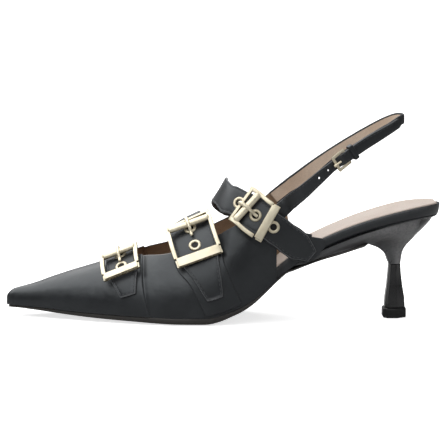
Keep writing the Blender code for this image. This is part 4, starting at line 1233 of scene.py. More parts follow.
def rod(cut: Cut, centres: Array, up: Array, radius: float | Array, turns: int = 16,
        flat: float = 1.0) -> None:
    """Add a round rod with rounded ends.

    Args:
        cut: the mesh that it goes into.
        centres: its middle line.
        up: a direction that isn't along it.
        radius: its radius, or one at each point.
        turns: points of a ring.
        flat: its height over its width.
    """
    size = np.broadcast_to(np.asarray(radius, float), (len(centres),)).copy()
    along = unit(np.gradient(centres, axis=0))
    side = unit(np.cross(along, up))
    over = np.cross(side, along)
    bend = np.radians([75, 50, 25])
    start = [(centres[0] - along[0] * size[0] * 0.7 * math.sin(b), size[0] * math.cos(b), 0)
             for b in bend]
    stop = [(centres[-1] + along[-1] * size[-1] * 0.7 * math.sin(b), size[-1] * math.cos(b), -1)
            for b in bend[::-1]]
    rows = start + [(c, s, k) for k, (c, s) in enumerate(zip(centres, size))] + stop
    angles = np.linspace(0, 2 * math.pi, turns + 1)[:-1]
    wide, tall = np.cos(angles)[:, None], np.sin(angles)[:, None]
    grid = [c + side[k] * (wide * s) + over[k] * (tall * s * flat) for c, s, k in rows]
    # Rim weight on the rod's lower side: the metal shows painted shade there.
    down = -np.sin(angles) * math.copysign(1.0, float(np.dot(over[0], up)))
    cut.tube(np.array(grid), rim=np.tile(np.clip(down * 1.6, 0, 1), (len(grid), 1)))


@dataclass
class Buckle:
    """A square buckle: a frame, a roller on its hinge bar, a prong and a flat plate."""

    route: LastRoute
    hinge: float
    plate: float
    plate_length: float
    strap_width: float
    strap_top: float
    bar: float = 0.0025
    hinge_bar: float = 0.0017
    height: float = 0.0019
    air: float = 0.0012
    roller: float = 0.0011
    prong: float = 0.0010
    pitch: float = 0.0125
    eyelet_height: float = 0.0008
    corner: float = 0.00032
    full: float = 1.95
    sharp: float = 60.0

    @property
    def middle(self) -> float:
        """Height of the middle of the frame above the last."""
        return self.strap_top + self.eyelet_height + CLEARANCE * 3.5 + self.height / 2

    def across_bar(self, cut: Cut, way: float, reach: tuple[float, float], width: float,
                   height: float, lift: float, corner: float) -> None:
        """Add a straight bar across the strap."""
        asides = np.linspace(*reach, 5)
        centres = self.route.plane(way, asides, lift)
        along, _, out = self.route.frame(np.asarray(way))
        bar(cut, centres, np.tile(along, (5, 1)), np.tile(out, (5, 1)), width, height, corner)

    def build(self, finish: Finishes, name: str) -> None:
        """The frame with its plate, the roller and the prong."""
        axle = self.hinge + CLEARANCE + self.roller * self.full
        for part, cut in (("frame", self.frame()), ("roller", self.spindle(axle)),
                          ("prong", self.pin(axle))):
            dress(cut.made(f"{name}_{part}", self.sharp), (finish.gold,),
                  [f"{name}_{part}"])

    def frame(self) -> Cut:
        """Two sides, the hinge bar, and the plate on its own bar."""
        inner = self.strap_width / 2 + self.air
        outer, middle = inner + self.bar, self.middle
        start, end = self.hinge - self.hinge_bar, self.plate + self.plate_length / 2
        cut = Cut()
        ways = np.linspace(start, end - self.plate_length + 0.0004, 9)
        _, across, out = self.route.frame(ways)
        for side in (-1, 1):
            centres = self.route.plane(ways, side * (inner + self.bar / 2), middle)
            bar(cut, centres, across, out, self.bar, self.height, self.corner)
        long, corner = self.plate_length, self.corner
        for way, short, width, height, lift, corner in (
            (start + self.hinge_bar / 2, 0.0008, self.hinge_bar * 1.1, 1.0, 0.0, corner),
            (end - long * 0.42, 0.0003, long * 0.82, 0.8, -0.0003, 0.0003),
            (end - long / 2, 0.0012, long - 0.0003, 0.9, 0.0006, corner),
        ):
            reach = (short - outer, outer - short)
            self.across_bar(cut, way, reach, width, self.height * height, middle + lift, corner)
        return cut

    def spindle(self, axle: float) -> Cut:
        """The roller beside the hinge bar."""
        cut = Cut()
        reach = self.strap_width / 2 + self.air - CLEARANCE
        centres = self.route.plane(axle, np.linspace(-reach, reach, 9), self.middle + 0.0004)
        out = self.route.frame(np.asarray(axle))[2]
        rod(cut, centres, out, self.roller * self.full, 24, 0.82)
        return cut

    def pin(self, axle: float) -> Cut:
        """The prong, from the hinge over the roller down into its eyelet."""
        start, middle = self.hinge - self.hinge_bar, self.middle
        crown = middle + self.height / 2 + CLEARANCE + self.prong * 0.8
        rest = self.strap_top + CLEARANCE + self.eyelet_height + CLEARANCE + self.prong * 0.6
        reach = self.hinge + CLEARANCE + self.roller * 2.4 + self.prong
        path = Table(("k", "way", "lift"), (
            (0, start - 0.0002, middle + 0.0004), (1, start + self.hinge_bar * 0.6, crown),
            (2, axle, crown), (3, reach + self.prong, crown * 0.92),
            (4, reach + self.pitch * 0.17, (crown + rest) / 2),
            (5, reach + self.pitch * 0.30, rest), (6, reach + self.pitch * 0.46, rest - 0.0002),
        ))
        steps = np.linspace(0, 6, 25)
        centres = self.route.plane(path.read(steps, "way"), 0.0, path.read(steps, "lift"))
        size = self.prong * np.interp(steps, [0, 1, 2, 3, 6], [1.15, 1.3, 1.15, 1.0, 0.95])
        cut = Cut()
        rod(cut, centres, self.route.frame(np.asarray(axle))[2], size, 20, 0.8)
        return cut


@dataclass
class Eyelet:
    """A rolled metal eyelet with painted shade: a near-black plug in its hole and dark flanks."""

    radius: float = 0.0038
    hole: float = 0.0019
    height: float = 0.0008
    above: float = 0.0001
    turns: int = 40

    def build(self, finish: Finishes, route: LastRoute, way: float, lift: float, name: str) -> None:
        """The eyelet on its strap.

        Args:
            finish: the materials.
            route, way: where it is.
            lift: height of the strap's top.
            name: the name of the solid that it stands for.
        """
        wide, hole, tall = self.radius, self.hole, self.height
        outline = [(wide * 0.99, 0.0), (wide, tall * 0.35), (wide - tall * 0.35, tall * 0.85),
                   ((wide + hole) / 2, tall * 1.05), (hole + tall * 0.40, tall * 0.95),
                   (hole + tall * 0.08, tall * 0.55), (hole, 0.0), (hole, -0.0006),
                   (hole + 0.0002, -0.0006), (hole + 0.0002, 0.0)]
        place = route.plane(way, 0.0, lift + self.above)
        along, across, out = route.frame(np.asarray(way))
        turns = np.linspace(0, 2 * math.pi, self.turns + 1)[:-1]
        spokes = along * np.cos(turns)[:, None] + across * np.sin(turns)[:, None]
        rings = np.stack([place + spokes * r + out * z for r, z in outline])
        # Rim weights: the outer and inner flanks take the metal's painted shade, the top stays
        # bright.
        rim_weight = [1.0, 0.8, 0.2, 0.0, 0.1, 0.7, 1.0, 1.0, 1.0, 1.0]
        cut = Cut()
        cut.tube(rings, rim=np.repeat(np.array(rim_weight)[:, None], self.turns, 1), closed=True)
        # A near-black plug filling the hole: painted shade.
        shade_plug = np.stack([place + spokes * (hole + 0.0001) + out * 0.00015,
                         place + spokes * (hole + 0.0001) - out * 0.0002])
        cut.tube(shade_plug, [1] * self.turns)
        piece = cut.made(name.replace("eyelet", "rolled_eyelet"), 50)
        dress(piece, (finish.gold, finish.dark), [name])


@dataclass
class StrapSet:
    """What the three buckled straps share."""

    spacing: float = 0.0125
    hinge_bar: float = 0.0017
    fill: float = 0.0014
    fill_run: float = 0.0045
    front_sizes: tuple[float, float] = (0.0166, 0.0048)
    middle_sizes: tuple[float, float] = (0.0217, 0.0060)
    rear_sizes: tuple[float, float] = (0.0170, 0.0053)
    thread: Thread = field(default_factory=Thread)

    @staticmethod
    def outline(start: float, taper: float, end: float, half: float,
                tip: tuple[float, float], count: int = 46) -> Triple:
        """An even strap that narrows from a place on to its tip.

        Args:
            start, taper, end: distances along.
            half: half the even width.
            tip: the two edges at the end.
            count: rings in the even stretch.

        Returns:
            Distances along and the places of both edges.
        """
        even = np.linspace(start, taper, count)
        share = np.linspace(0, 1, 12)[1:]
        ways = np.concatenate([even, taper + (end - taper) * share])
        low = np.concatenate([np.full(count, -half), -half + (tip[0] + half) * share])
        high = np.concatenate([np.full(count, half), half + (tip[1] - half) * share])
        return ways, low, high

    def filled(self, shape: Triple, hinge: float, plate: float) -> Triple:
        """A strap's outline, pressed a little wider where it runs under the buckle."""
        ways, low, high = shape
        share = ease((ways - hinge + self.fill_run) / self.fill_run)
        share = self.fill * share * ease((plate - ways) / self.fill_run)
        return ways, low - share, high + share

    def fasten(self, finish: Finishes, name: str, route: LastRoute,
               lift: Callable[[Array], Array], sizes: tuple[float, float],
               places: tuple[float, float], shape: Triple,
               holes: Sequence[float]) -> None:
        """Build a strap with its stitches, eyelets and buckle.

        Args:
            finish: the materials.
            name: which strap.
            route, lift: where it lies.
            sizes: its width, and its buckle's plate along it.
            places: distances along of the buckle's hinge and plate.
            shape: its outline.
            holes: distances along of its eyelets.
        """
        width, plate_length = sizes
        hinge, plate = places
        band, shape = Band(route, STRAP_THICKNESS, lift), self.filled(shape, hinge, plate)
        dress(band.build(*shape, f"{name}_strap"), (finish.strap, finish.strap),
              [f"strap_{name}"])
        cut = Cut()
        self.thread.sew(cut, band.line(*shape))
        dress(cut.made(f"{name}_strap_stitches"), (finish.thread,))
        for number, way in enumerate(holes, 1):
            Eyelet().build(finish, route, way, float(lift(way)) + STRAP_THICKNESS,
                           f"eyelet_{name}_{number}")
        Buckle(route, hinge, plate, plate_length, width,
               float(lift(plate)) + STRAP_THICKNESS).build(finish, f"buckle_{name}")

    @staticmethod
    def base(finish: Finishes, name: str, band: Band, shape: Triple) -> None:
        """Build the leather that a strap lies on."""
        dress(band.build(*shape, f"{name}_strap_base"), (finish.base, finish.base),
              [f"base_{name}"])

    def build(self, finish: Finishes) -> None:
        """All three straps with what is on them."""
        self.front(finish)
        self.middle(finish)
        self.rear(finish)

    def front(self, finish: Finishes) -> None:
        """The strap over the toe's vamp."""
        route = LastRoute(((-0.93, 0.283), (-0.50, 0.266), (0.00, 0.2648), (0.13, 0.2685),
                           (0.42, 0.2735), (0.565, 0.2795), (0.786, 0.2895)))
        width, plate_length = self.front_sizes
        half = width / 2
        hinge, plate, end = route.way_of(0.168), route.way_of(0.529), route.way_of(0.786)
        shape = self.outline(0.0, plate + plate_length / 2, end, half, (-0.58 * half, 0.60 * half))
        near = hinge + self.spacing * 0.15
        self.fasten(finish, "front", route, lambda way: CLEARANCE, (width, plate_length),
                    (hinge, plate), shape, (near, near + self.spacing * 0.90))

    def middle(self, finish: Finishes) -> None:
        """The strap over the ball of the foot, and the leather that it lies on."""
        route = LastRoute(((-0.95, 0.470), (-0.50, 0.438), (0.00, 0.4150), (0.25, 0.4280),
                           (0.49, 0.4410), (0.654, 0.4562), (0.78, 0.4705), (0.92, 0.4865)))
        width, plate_length = self.middle_sizes
        half = width / 2
        hinge, plate, end = route.way_of(0.263), route.way_of(0.600), route.way_of(0.898)
        crest = route.way_of(0.0)

        def lift(way: Array) -> Array:
            """Height of the strap, which steps up on to its base."""
            share = (np.asarray(way) - crest * 0.9) / (hinge - crest * 0.9)
            return ON_PANEL + (ON_BASE - ON_PANEL) * ease(share)

        shape = self.outline(0.0, plate + plate_length / 2, end, half,
                             (-0.445 * half, 0.455 * half))
        near = hinge + self.hinge_bar + self.spacing * 0.16
        self.fasten(finish, "middle", route, lift, (width, plate_length), (hinge, plate), shape,
                    (near, near + self.spacing))
        panel = PanelRoute((
            (0.520, 0.3920, 0.4890), (0.560, 0.3925, 0.4930), (0.660, 0.4040, 0.5000),
            (0.770, 0.4275, 0.5095), (0.880, 0.4468, 0.5255), (0.985, 0.4635, 0.5450),
        ))
        ways = np.linspace(0.0, panel.length, 44)
        self.base(finish, "middle", Band(panel, BASE_THICKNESS, lambda way: ON_PANEL,
                                         line_deep=0.0), (ways, *panel.edges(ways)))

    def rear(self, finish: Finishes) -> None:
        """The strap over the instep, and its base at the outer side."""
        route = LastRoute((
            (-0.74, 0.582), (-0.64, 0.560), (-0.55, 0.537), (-0.42, 0.512), (-0.24, 0.498),
            (0.00, 0.4960), (0.24, 0.5055), (0.407, 0.5230), (0.509, 0.5430), (0.631, 0.5745),
            (0.764, 0.6175), (0.873, 0.6550), (0.970, 0.6915), (1.020, 0.7090),
        ))
        base_route = LastRoute((
            (0.560, 0.5550), (0.631, 0.5750), (0.764, 0.6175), (0.873, 0.6560), (0.945, 0.6880),
            (0.967, 0.7070), (0.978, 0.7320),
        ))
        width, plate_length = self.rear_sizes
        half = width / 2
        hinge, plate, end = route.way_of(0.550), route.way_of(0.715), route.way_of(1.0)
        on_side = CLEARANCE + SIDE_LEAN
        over_side = on_side + BASE_THICKNESS + CLEARANCE

        def rise(way: Array, line: LastRoute, low: Array, high: float) -> Array:
            """Height that goes from the panel out over the board's side."""
            first, last = line.way_of(0.61), line.way_of(0.76)
            return low + (high - low) * ease((np.asarray(way) - first) / (last - first))

        crest, outer = route.way_of(0.0), route.way_of(0.40)

        def lift(way: Array) -> Array:
            """Height of the strap above the last."""
            share = (np.asarray(way) - crest) / (outer - crest)
            return rise(way, route, ON_PANEL + (ON_BASE - ON_PANEL) * ease(share), over_side)

        shape = self.outline(0.0, route.way_of(0.92), end, half, (-0.48 * half, 0.48 * half), 70)
        near = hinge + self.hinge_bar + self.spacing * 0.54
        holes = (near - self.spacing * 0.95, near, near + self.spacing * 0.95)
        self.fasten(finish, "rear", route, lift, (width, plate_length), (hinge, plate), shape,
                    holes)
        base = Band(base_route, BASE_THICKNESS,
                    lambda way: rise(way, base_route, np.full(np.shape(way), ON_PANEL), on_side))
        start, foot = base_route.way_of(0.60), base_route.length
        shape = self.outline(start, foot - half * 1.25, foot, half * 1.06,
                             (-0.10 * half, 0.50 * half), 30)
        self.base(finish, "rear", base, shape)


# The heel strap.


@dataclass
class Sling:
    """The heel strap: a billet with pinholes, a strap, a small buckle and a keeper."""

    width: float = 0.0060
    thickness: float = SLING_THICKNESS
    buckle_at: float = 0.752
    tip_at: float = 0.898
    frame_length: float = 0.0095
    bar: float = 0.0014
    frame_height: float = 0.0012
    prong: float = 0.0006
    keeper_length: float = 0.0030
    keeper_wall: float = 0.0010
    pinholes: tuple[float, ...] = (0.0052, 0.0122)
    pinhole: float = 0.00064
    line_in: float = 0.0012
    line_deep: float = 0.00006
    thread: Thread = field(default_factory=lambda: Thread(pitch=0.0024, radius=0.00018))
    corner: float = 0.0003
    keeper_corner: float = 0.0006
    sharp: float = 60.0
    rows: Rows = (
        (0.607, -0.345, 1.005, 1.60), (0.6255, -0.330, 1.079, 1.56), (0.644, -0.333, 1.152, 1.52),
        (0.660, -0.362, 1.214, 1.50), (0.681, -0.395, 1.296, 1.40), (0.704, -0.390, 1.386, 1.28),
        (0.727, -0.375, 1.473, 1.17),
        (0.750, -0.347, 1.553, 1.03), (0.7965, -0.299, 1.694, 1.12), (0.8428, -0.257, 1.822, 1.10),
        (0.8775, -0.181, 1.908, 1.00), (0.905, -0.072, 1.977, 1.00), (0.9125, 0.000, 1.987, 1.00),
        (0.905, 0.076, 1.993, 1.00), (0.8775, 0.188, 1.944, 1.00), (0.8428, 0.257, 1.850, 1.10),
        (0.7965, 0.306, 1.722, 1.18), (0.755, 0.335, 1.600, 1.26), (0.718, 0.345, 1.474, 1.50),
        (0.6855, 0.318, 1.363, 1.68), (0.662, 0.285, 1.298, 1.62), (0.646, 0.260, 1.252, 1.48),
        (0.620, 0.276, 1.160, 1.50),
    )

    def build(self, finish: Finishes) -> None:
        """The heel strap's pieces."""
        points = np.array([(LAST.x(at), across * LAST.ball_width, up * LAST.seat_rise)
                           for at, across, up, _ in self.rows])
        route = FreeRoute(points)
        widths = Table(("k", "width"), [(k, row[3]) for k, row in enumerate(self.rows)])
        start = route.way_of_x(float(LAST.x(self.buckle_at)))
        end = start + self.frame_length
        tip = route.way_of_x(float(LAST.x(self.tip_at)))
        half = self.width / 2
        high = self.frame_height + self.thickness * 0.42

        def half_at(way: Array) -> Array:
            """Half the strap's width at a distance along."""
            return widths.read(np.interp(way, route.ways, route.steps), "width") * half

        def billet_lift(way: Array) -> Array:
            """The billet climbs through the frame on to the strap behind it."""
            return high * ease((np.asarray(way) - start - self.bar)
                               / (self.frame_length - 3 * self.bar))

        ways = np.linspace(0.0, tip - half, 90)
        turn = np.radians(np.linspace(15, 75, 5))
        rounded = half * (0.25 + 0.75 * np.cos(turn))
        front = (np.concatenate([ways, tip - half + half * np.sin(turn)]),
                 np.concatenate([-half_at(ways), -rounded]),
                 np.concatenate([half_at(ways), rounded]))
        ways = np.linspace(end + CLEARANCE, route.length, 150)
        back = (ways, -half_at(ways), half_at(ways))
        billet, strap = (
            Band(route, self.thickness, lift, line_in=self.line_in, line_deep=self.line_deep)
            for lift in (billet_lift, lambda way: 0.0))
        piece = billet.build(*front, "heel_billet")
        self.punch(piece, route, start)
        looks = (finish.base, finish.sling_lining)
        dress(piece, looks, ["sling_billet"])
        dress(strap.build(*back, "heel_strap"), looks, ["sling_strap"])
        cut = Cut()
        self.thread.sew(cut, billet.line(*front))
        self.thread.sew(cut, strap.line(*back, across_end=False))
        dress(cut.made("heel_strap_stitches"), (finish.thread,))
        self.buckle(finish, route, start, half)
        self.keeper(finish, route, end + self.keeper_length * 0.8, half * 1.14,
                    high + self.thickness + CLEARANCE)

    def punch(self, piece: bpy.types.Object, route: FreeRoute, start: float) -> None:
        """Cut the pinholes through the billet."""
        cage = bmesh.new()
        for back in self.pinholes:
            way = start - back
            along, across, out = route.frame(np.asarray(way))
            place = Matrix([list(map(float, row)) for row in np.column_stack([along, across, out])])
            place = place.to_4x4()
            place.translation = Vector([float(c) for c in route.at(way, 0.0, self.thickness / 2)])
            bmesh.ops.create_cone(cage, cap_ends=True, segments=20, radius1=self.pinhole,
                                  radius2=self.pinhole, depth=0.01, matrix=place)
        mesh = bpy.data.meshes.new("pinhole_punch")
        cage.to_mesh(mesh)
        cage.free()
        punch = placed("pinhole_punch", mesh)
        cut = piece.modifiers.new("pinholes", "BOOLEAN")
        cut.operation, cut.solver, cut.object = "DIFFERENCE", "EXACT", punch
        bpy.context.view_layer.update()
        graph = bpy.context.evaluated_depsgraph_get()
        cut_mesh = bpy.data.meshes.new_from_object(piece.evaluated_get(graph))
        piece.modifiers.clear()
        piece.data = cut_mesh
        piece.data.name = piece.name
        bpy.data.objects.remove(punch, do_unlink=True)

    def buckle(self, finish: Finishes, route: FreeRoute, start: float, half: float) -> None:
        """The small buckle and its prong."""

        def low(way: Array) -> Array:
            """Height of the frame's underside, falling towards the hinge."""
            share = (np.asarray(way) - start) / self.frame_length
            return (self.thickness + CLEARANCE * 1.5) * (1 - share)

        cut = Cut()
        wide = half + CLEARANCE + self.bar / 2
        ways = np.linspace(start, start + self.frame_length, 7)
        for side in (-1, 1):
            _, across, out = route.frame(ways)
            bar(cut, route.at(ways, side * (wide + self.bar * 0.15),
                              low(ways) + self.frame_height / 2),
                across, out, self.bar * 1.25, self.frame_height, self.corner)
        for way in (start + self.bar / 2, start + self.frame_length - self.bar / 2):
            along, _, out = route.frame(np.asarray(way))
            asides = np.linspace(-wide - self.bar * 0.45, wide + self.bar * 0.45, 5)
            bar(cut, route.at(way, asides, low(way) + self.frame_height / 2),
                np.tile(along, (5, 1)), np.tile(out, (5, 1)), self.bar * 1.3,
                self.frame_height, self.corner)
        dress(cut.made("heel_buckle_frame", self.sharp), (finish.gold,),
              ["sling_buckle_frame"])
        crown = float(low(start)) + self.frame_height + self.prong * 0.7
        steps = np.linspace(-0.0008, self.bar * 2.6, 9)
        prong = Cut()
        size = self.prong * np.interp(steps, [-0.0008, 0.0006, 0.0036], [1.5, 1.1, 1.0])
        rod(prong, route.at(start + steps, 0.0, crown), route.frame(np.asarray(start))[2], size, 14)
        dress(prong.made("heel_buckle_prong", self.sharp), (finish.gold,),
              ["sling_buckle_prong"])

    def keeper(self, finish: Finishes, route: FreeRoute, way: float, half: float,
               high: float) -> None:
        """The leather loop that holds the billet's end."""
        wide, low = half + CLEARANCE + self.keeper_wall / 2, -CLEARANCE - self.keeper_wall / 2
        tall, corner = high + self.keeper_wall / 2, self.keeper_corner

        def squared(v: float) -> float:
            """A sine or cosine pushed towards a square's."""
            return math.copysign(abs(v) ** 0.5, v)

        path = []
        for quarter, (x, y) in enumerate(((wide, tall), (-wide, tall), (-wide, low), (wide, low))):
            for k in range(5):
                angle = (quarter + k / 4) * math.pi / 2
                path.append((x - math.copysign(corner, x) + corner * math.cos(angle),
                             y + (-corner if y == tall else corner) + corner * math.sin(angle)))
        centre = np.array([0.0, (tall + low) / 2])
        turns = np.linspace(0, 2 * math.pi, 13)[:-1]
        overs = [squared(math.sin(a)) * self.keeper_wall / 2 for a in turns]
        runs = [(0.5 + 0.5 * squared(math.cos(a))) * self.keeper_length for a in turns]
        rings = []
        for place in np.array(path):
            out = unit(place - centre)
            rings.append([route.at(way + run, *(place + out * over))
                          for run, over in zip(runs, overs)])
        cut = Cut()
        cut.tube(np.array(rings), closed=True)
        dress(cut.made("heel_strap_keeper", self.sharp), (finish.strap,),
              ["sling_keeper"])


# Sole, insole board and sock.


@dataclass
class Bottom:
    """The outsole, the covered insole board and the sock."""

    sole_inset: float = 0.0008
    feathered: float = 0.022
    edge_lift: float = 0.0009
    flat_depth: float = 0.00012
    narrowest: float = 0.0024
    rear_clear: float = 0.003
    rear_ease: float = 0.020
    edge_round: float = 0.0005
    sock_thickness: float = 0.0009
    sock_inset: float = 0.0011
    sock_edge: float = 0.0012
    sole_least: float = 0.0006
    dish: float = 0.0003
    side: Rows = ((0.25, 0.00022), (0.6, 0.00030), (0.88, 0.00020))
    fold: Rows = (
        (0.35, 0.10), (0.66, 0.35), (0.79, 0.50), (0.84, 0.84), (0.89, 0.62), (0.95, 0.85),
        (1.0, 1.0),
    )

    def build(self, finish: Finishes) -> None:
        """All three pieces."""
        self.outsole(finish)
        self.insole_board(finish)
        self.sock(finish)

    def outsole(self, finish: Finishes) -> None:
        """The thin leather sole from the toe back under the waist."""
        end = SOLE_END + self.feathered
        at = np.concatenate([0.006 + 0.022 * np.linspace(0, 1, 9) ** 2,
                             np.linspace(0.036, end, 124)])
        half = np.maximum(LAST.half(at) - self.sole_inset, self.narrowest / 2)
        past = ease((at - SOLE_END) / self.feathered)
        half = half * (1 - 0.5 * past)
        top = LAST.feather(at) - LAST.lip_depth(at) - CLEARANCE
        thick = np.minimum(1.0, LAST.floor.read(at, "sole"))
        base = LAST.under(at) - LAST.lip_depth(at) - self.flat_depth
        run_out = ease((at - SOLE_END + 0.004) / (end - SOLE_END))
        base = base + (top - self.sole_least - base) * run_out
        shares = np.array([0, 0.4, 0.7, 0.86, 0.94, 0.98, 1.0])
        rings = []
        for k in range(len(at)):
            x, y = float(LAST.x(at[k])), float(LAST.middle(at[k]))
            section = []
            for s in np.concatenate([-shares[::-1], shares[1:]]):
                low = base[k] + self.edge_lift * abs(s) ** 4 * thick[k]
                low = max(0.0, min(low, top[k] - self.sole_least))
                section.append((x, y + half[k] * s, low))
            rim_low = section[-1][2]
            rise = top[k] - rim_low
            for share, bulge in self.side:
                section.append((x, y + half[k] + bulge, rim_low + rise * share))
            for s in (1.0, 0.5, 0.0, -0.5, -1.0):
                section.append((x, y + half[k] * s, top[k]))
            for share, bulge in self.side[::-1]:
                section.append((x, y - half[k] - bulge, rim_low + rise * share))
            rings.append(section)
        cut = Cut()
        count = len(rings[0])
        rim = np.zeros((len(rings), count))
        rim[:, 12:17] = rim[:, 20:] = 1.0
        cut.tube(np.array(rings), rim=rim)
        dress(cut.made("leather_outsole", 50), (finish.sole,), ["outsole"])

    def sides(self, at: Array, inset: float = 0.0) -> tuple[Array, Array]:
        """The board's two edges across the shoe at a station."""
        toe = 1 + 0.6 * (1 - ease(at / 0.11))
        wall = WALL + SEAM_STEP + CLEARANCE * 2

        def hidden(rear: float) -> Array:
            """Inset inside the upper's wall, fading behind it."""
            return (1 - ease((at - rear - self.rear_clear) / self.rear_ease)) * toe * wall + inset

        outer, inner = hidden(OUTER_REAR), hidden(INNER_REAR + INNER_LEAN)
        half, middle = LAST.half(at), LAST.middle(at)
        narrow = 2 * half - outer - inner < self.narrowest
        low = np.where(narrow, middle - self.narrowest / 2, middle - half + outer)
        high = np.where(narrow, middle + self.narrowest / 2, middle + half - inner)
        return low, high

    def insole_board(self, finish: Finishes) -> None:
        """The board with leather wrapped round its edge."""
        seat = 1 - 0.055 * np.linspace(1, 0.03, 16) ** 1.7
        at = np.concatenate([np.linspace(0.036, 0.60, 50), np.linspace(0.61, 0.70, 24),
                             np.linspace(0.71, 0.94, 40), seat])
        low_y, high_y = self.sides(at)
        wide = high_y - low_y
        draft = np.minimum(DRAFT * ease((at - INNER_REAR) / (1 - INNER_REAR) * 3),
                           0.4 * wide)
        edge = np.minimum(self.edge_round * 1.2, 0.2 * wide)
        low, high = LAST.feather(at), LAST.board_top(at)
        tail = ease((at - 0.9) / 0.1) * DRAFT
        x = LAST.x(at)
        rows = [(low_y + edge + (wide - 2 * edge) * s, high, x) for s in np.linspace(0, 1, 7)]
        arc = [(math.cos(a), math.sin(a)) for a in map(math.radians, (68, 45, 22, 0))]
        rows += [(high_y - edge + edge * c, high - edge + edge * s, x) for c, s in arc]
        tall = high - edge - low
        for down, pull in self.fold:
            rows.append((high_y - draft * pull, high - edge - tall * down, x - tail * pull))
        for s in (0.75, 0.5, 0.25):
            rows.append((low_y + draft + (wide - 2 * draft) * s, low, x - tail))
        for down, pull in self.fold[::-1]:
            rows.append((low_y + draft * pull, high - edge - tall * down, x - tail * pull))
        rows += [(low_y + edge - edge * c, high - edge + edge * s, x) for c, s in arc[::-1]]
        rings = np.stack([np.stack([xx, y, z], -1) for y, z, xx in rows], 1)
        rim = np.zeros(rings.shape[:2])
        rim[:, 7:11] = rim[:, -4:] = 0.8
        cut = Cut()
        cut.tube(rings, rim=rim)
        dress(cut.made("wrapped_board", 50), (finish.rand,), ["insole_board"])

    def sock(self, finish: Finishes) -> None:
        """The beige sock from toe to seat, with a soft rounded edge."""
        at = np.concatenate([np.linspace(0.052, 0.93, 110),
                             0.9895 - 0.0595 * np.linspace(1, 0, 22)[1:] ** 1.8])
        low, high = self.sides(at, self.sock_inset)
        base = LAST.board_top(at) + CLEARANCE
        arc = [(1 - math.cos(a), math.sin(a)) for a in map(math.radians, (20, 45, 70, 90))]
        rings = []
        for k in range(len(at)):
            x, wide = float(LAST.x(at[k])), high[k] - low[k]
            edge = min(self.sock_edge, wide * 0.25)
            section = [(x, low[k] + wide * s, base[k]) for s in np.linspace(0, 1, 5)]
            section += [(x, high[k] - edge * c, base[k] + self.sock_thickness * s) for c, s in arc]
            for s in np.linspace(1, 0, 9)[1:-1]:
                dish = (-self.dish * math.sin(math.pi * s)
                        + 0.00025 * math.sin(2 * math.pi * s) ** 2)
                section.append((x, low[k] + edge + (wide - 2 * edge) * s,
                                base[k] + self.sock_thickness + dish))
            section += [(x, low[k] + edge * c, base[k] + self.sock_thickness * s)
                        for c, s in arc[::-1]]
            rings.append(section)
        cut = Cut()
        cut.tube(np.array(rings))
        dress(cut.made("beige_sock", 60), (finish.sock,), ["sock_lining"])


# The heel.


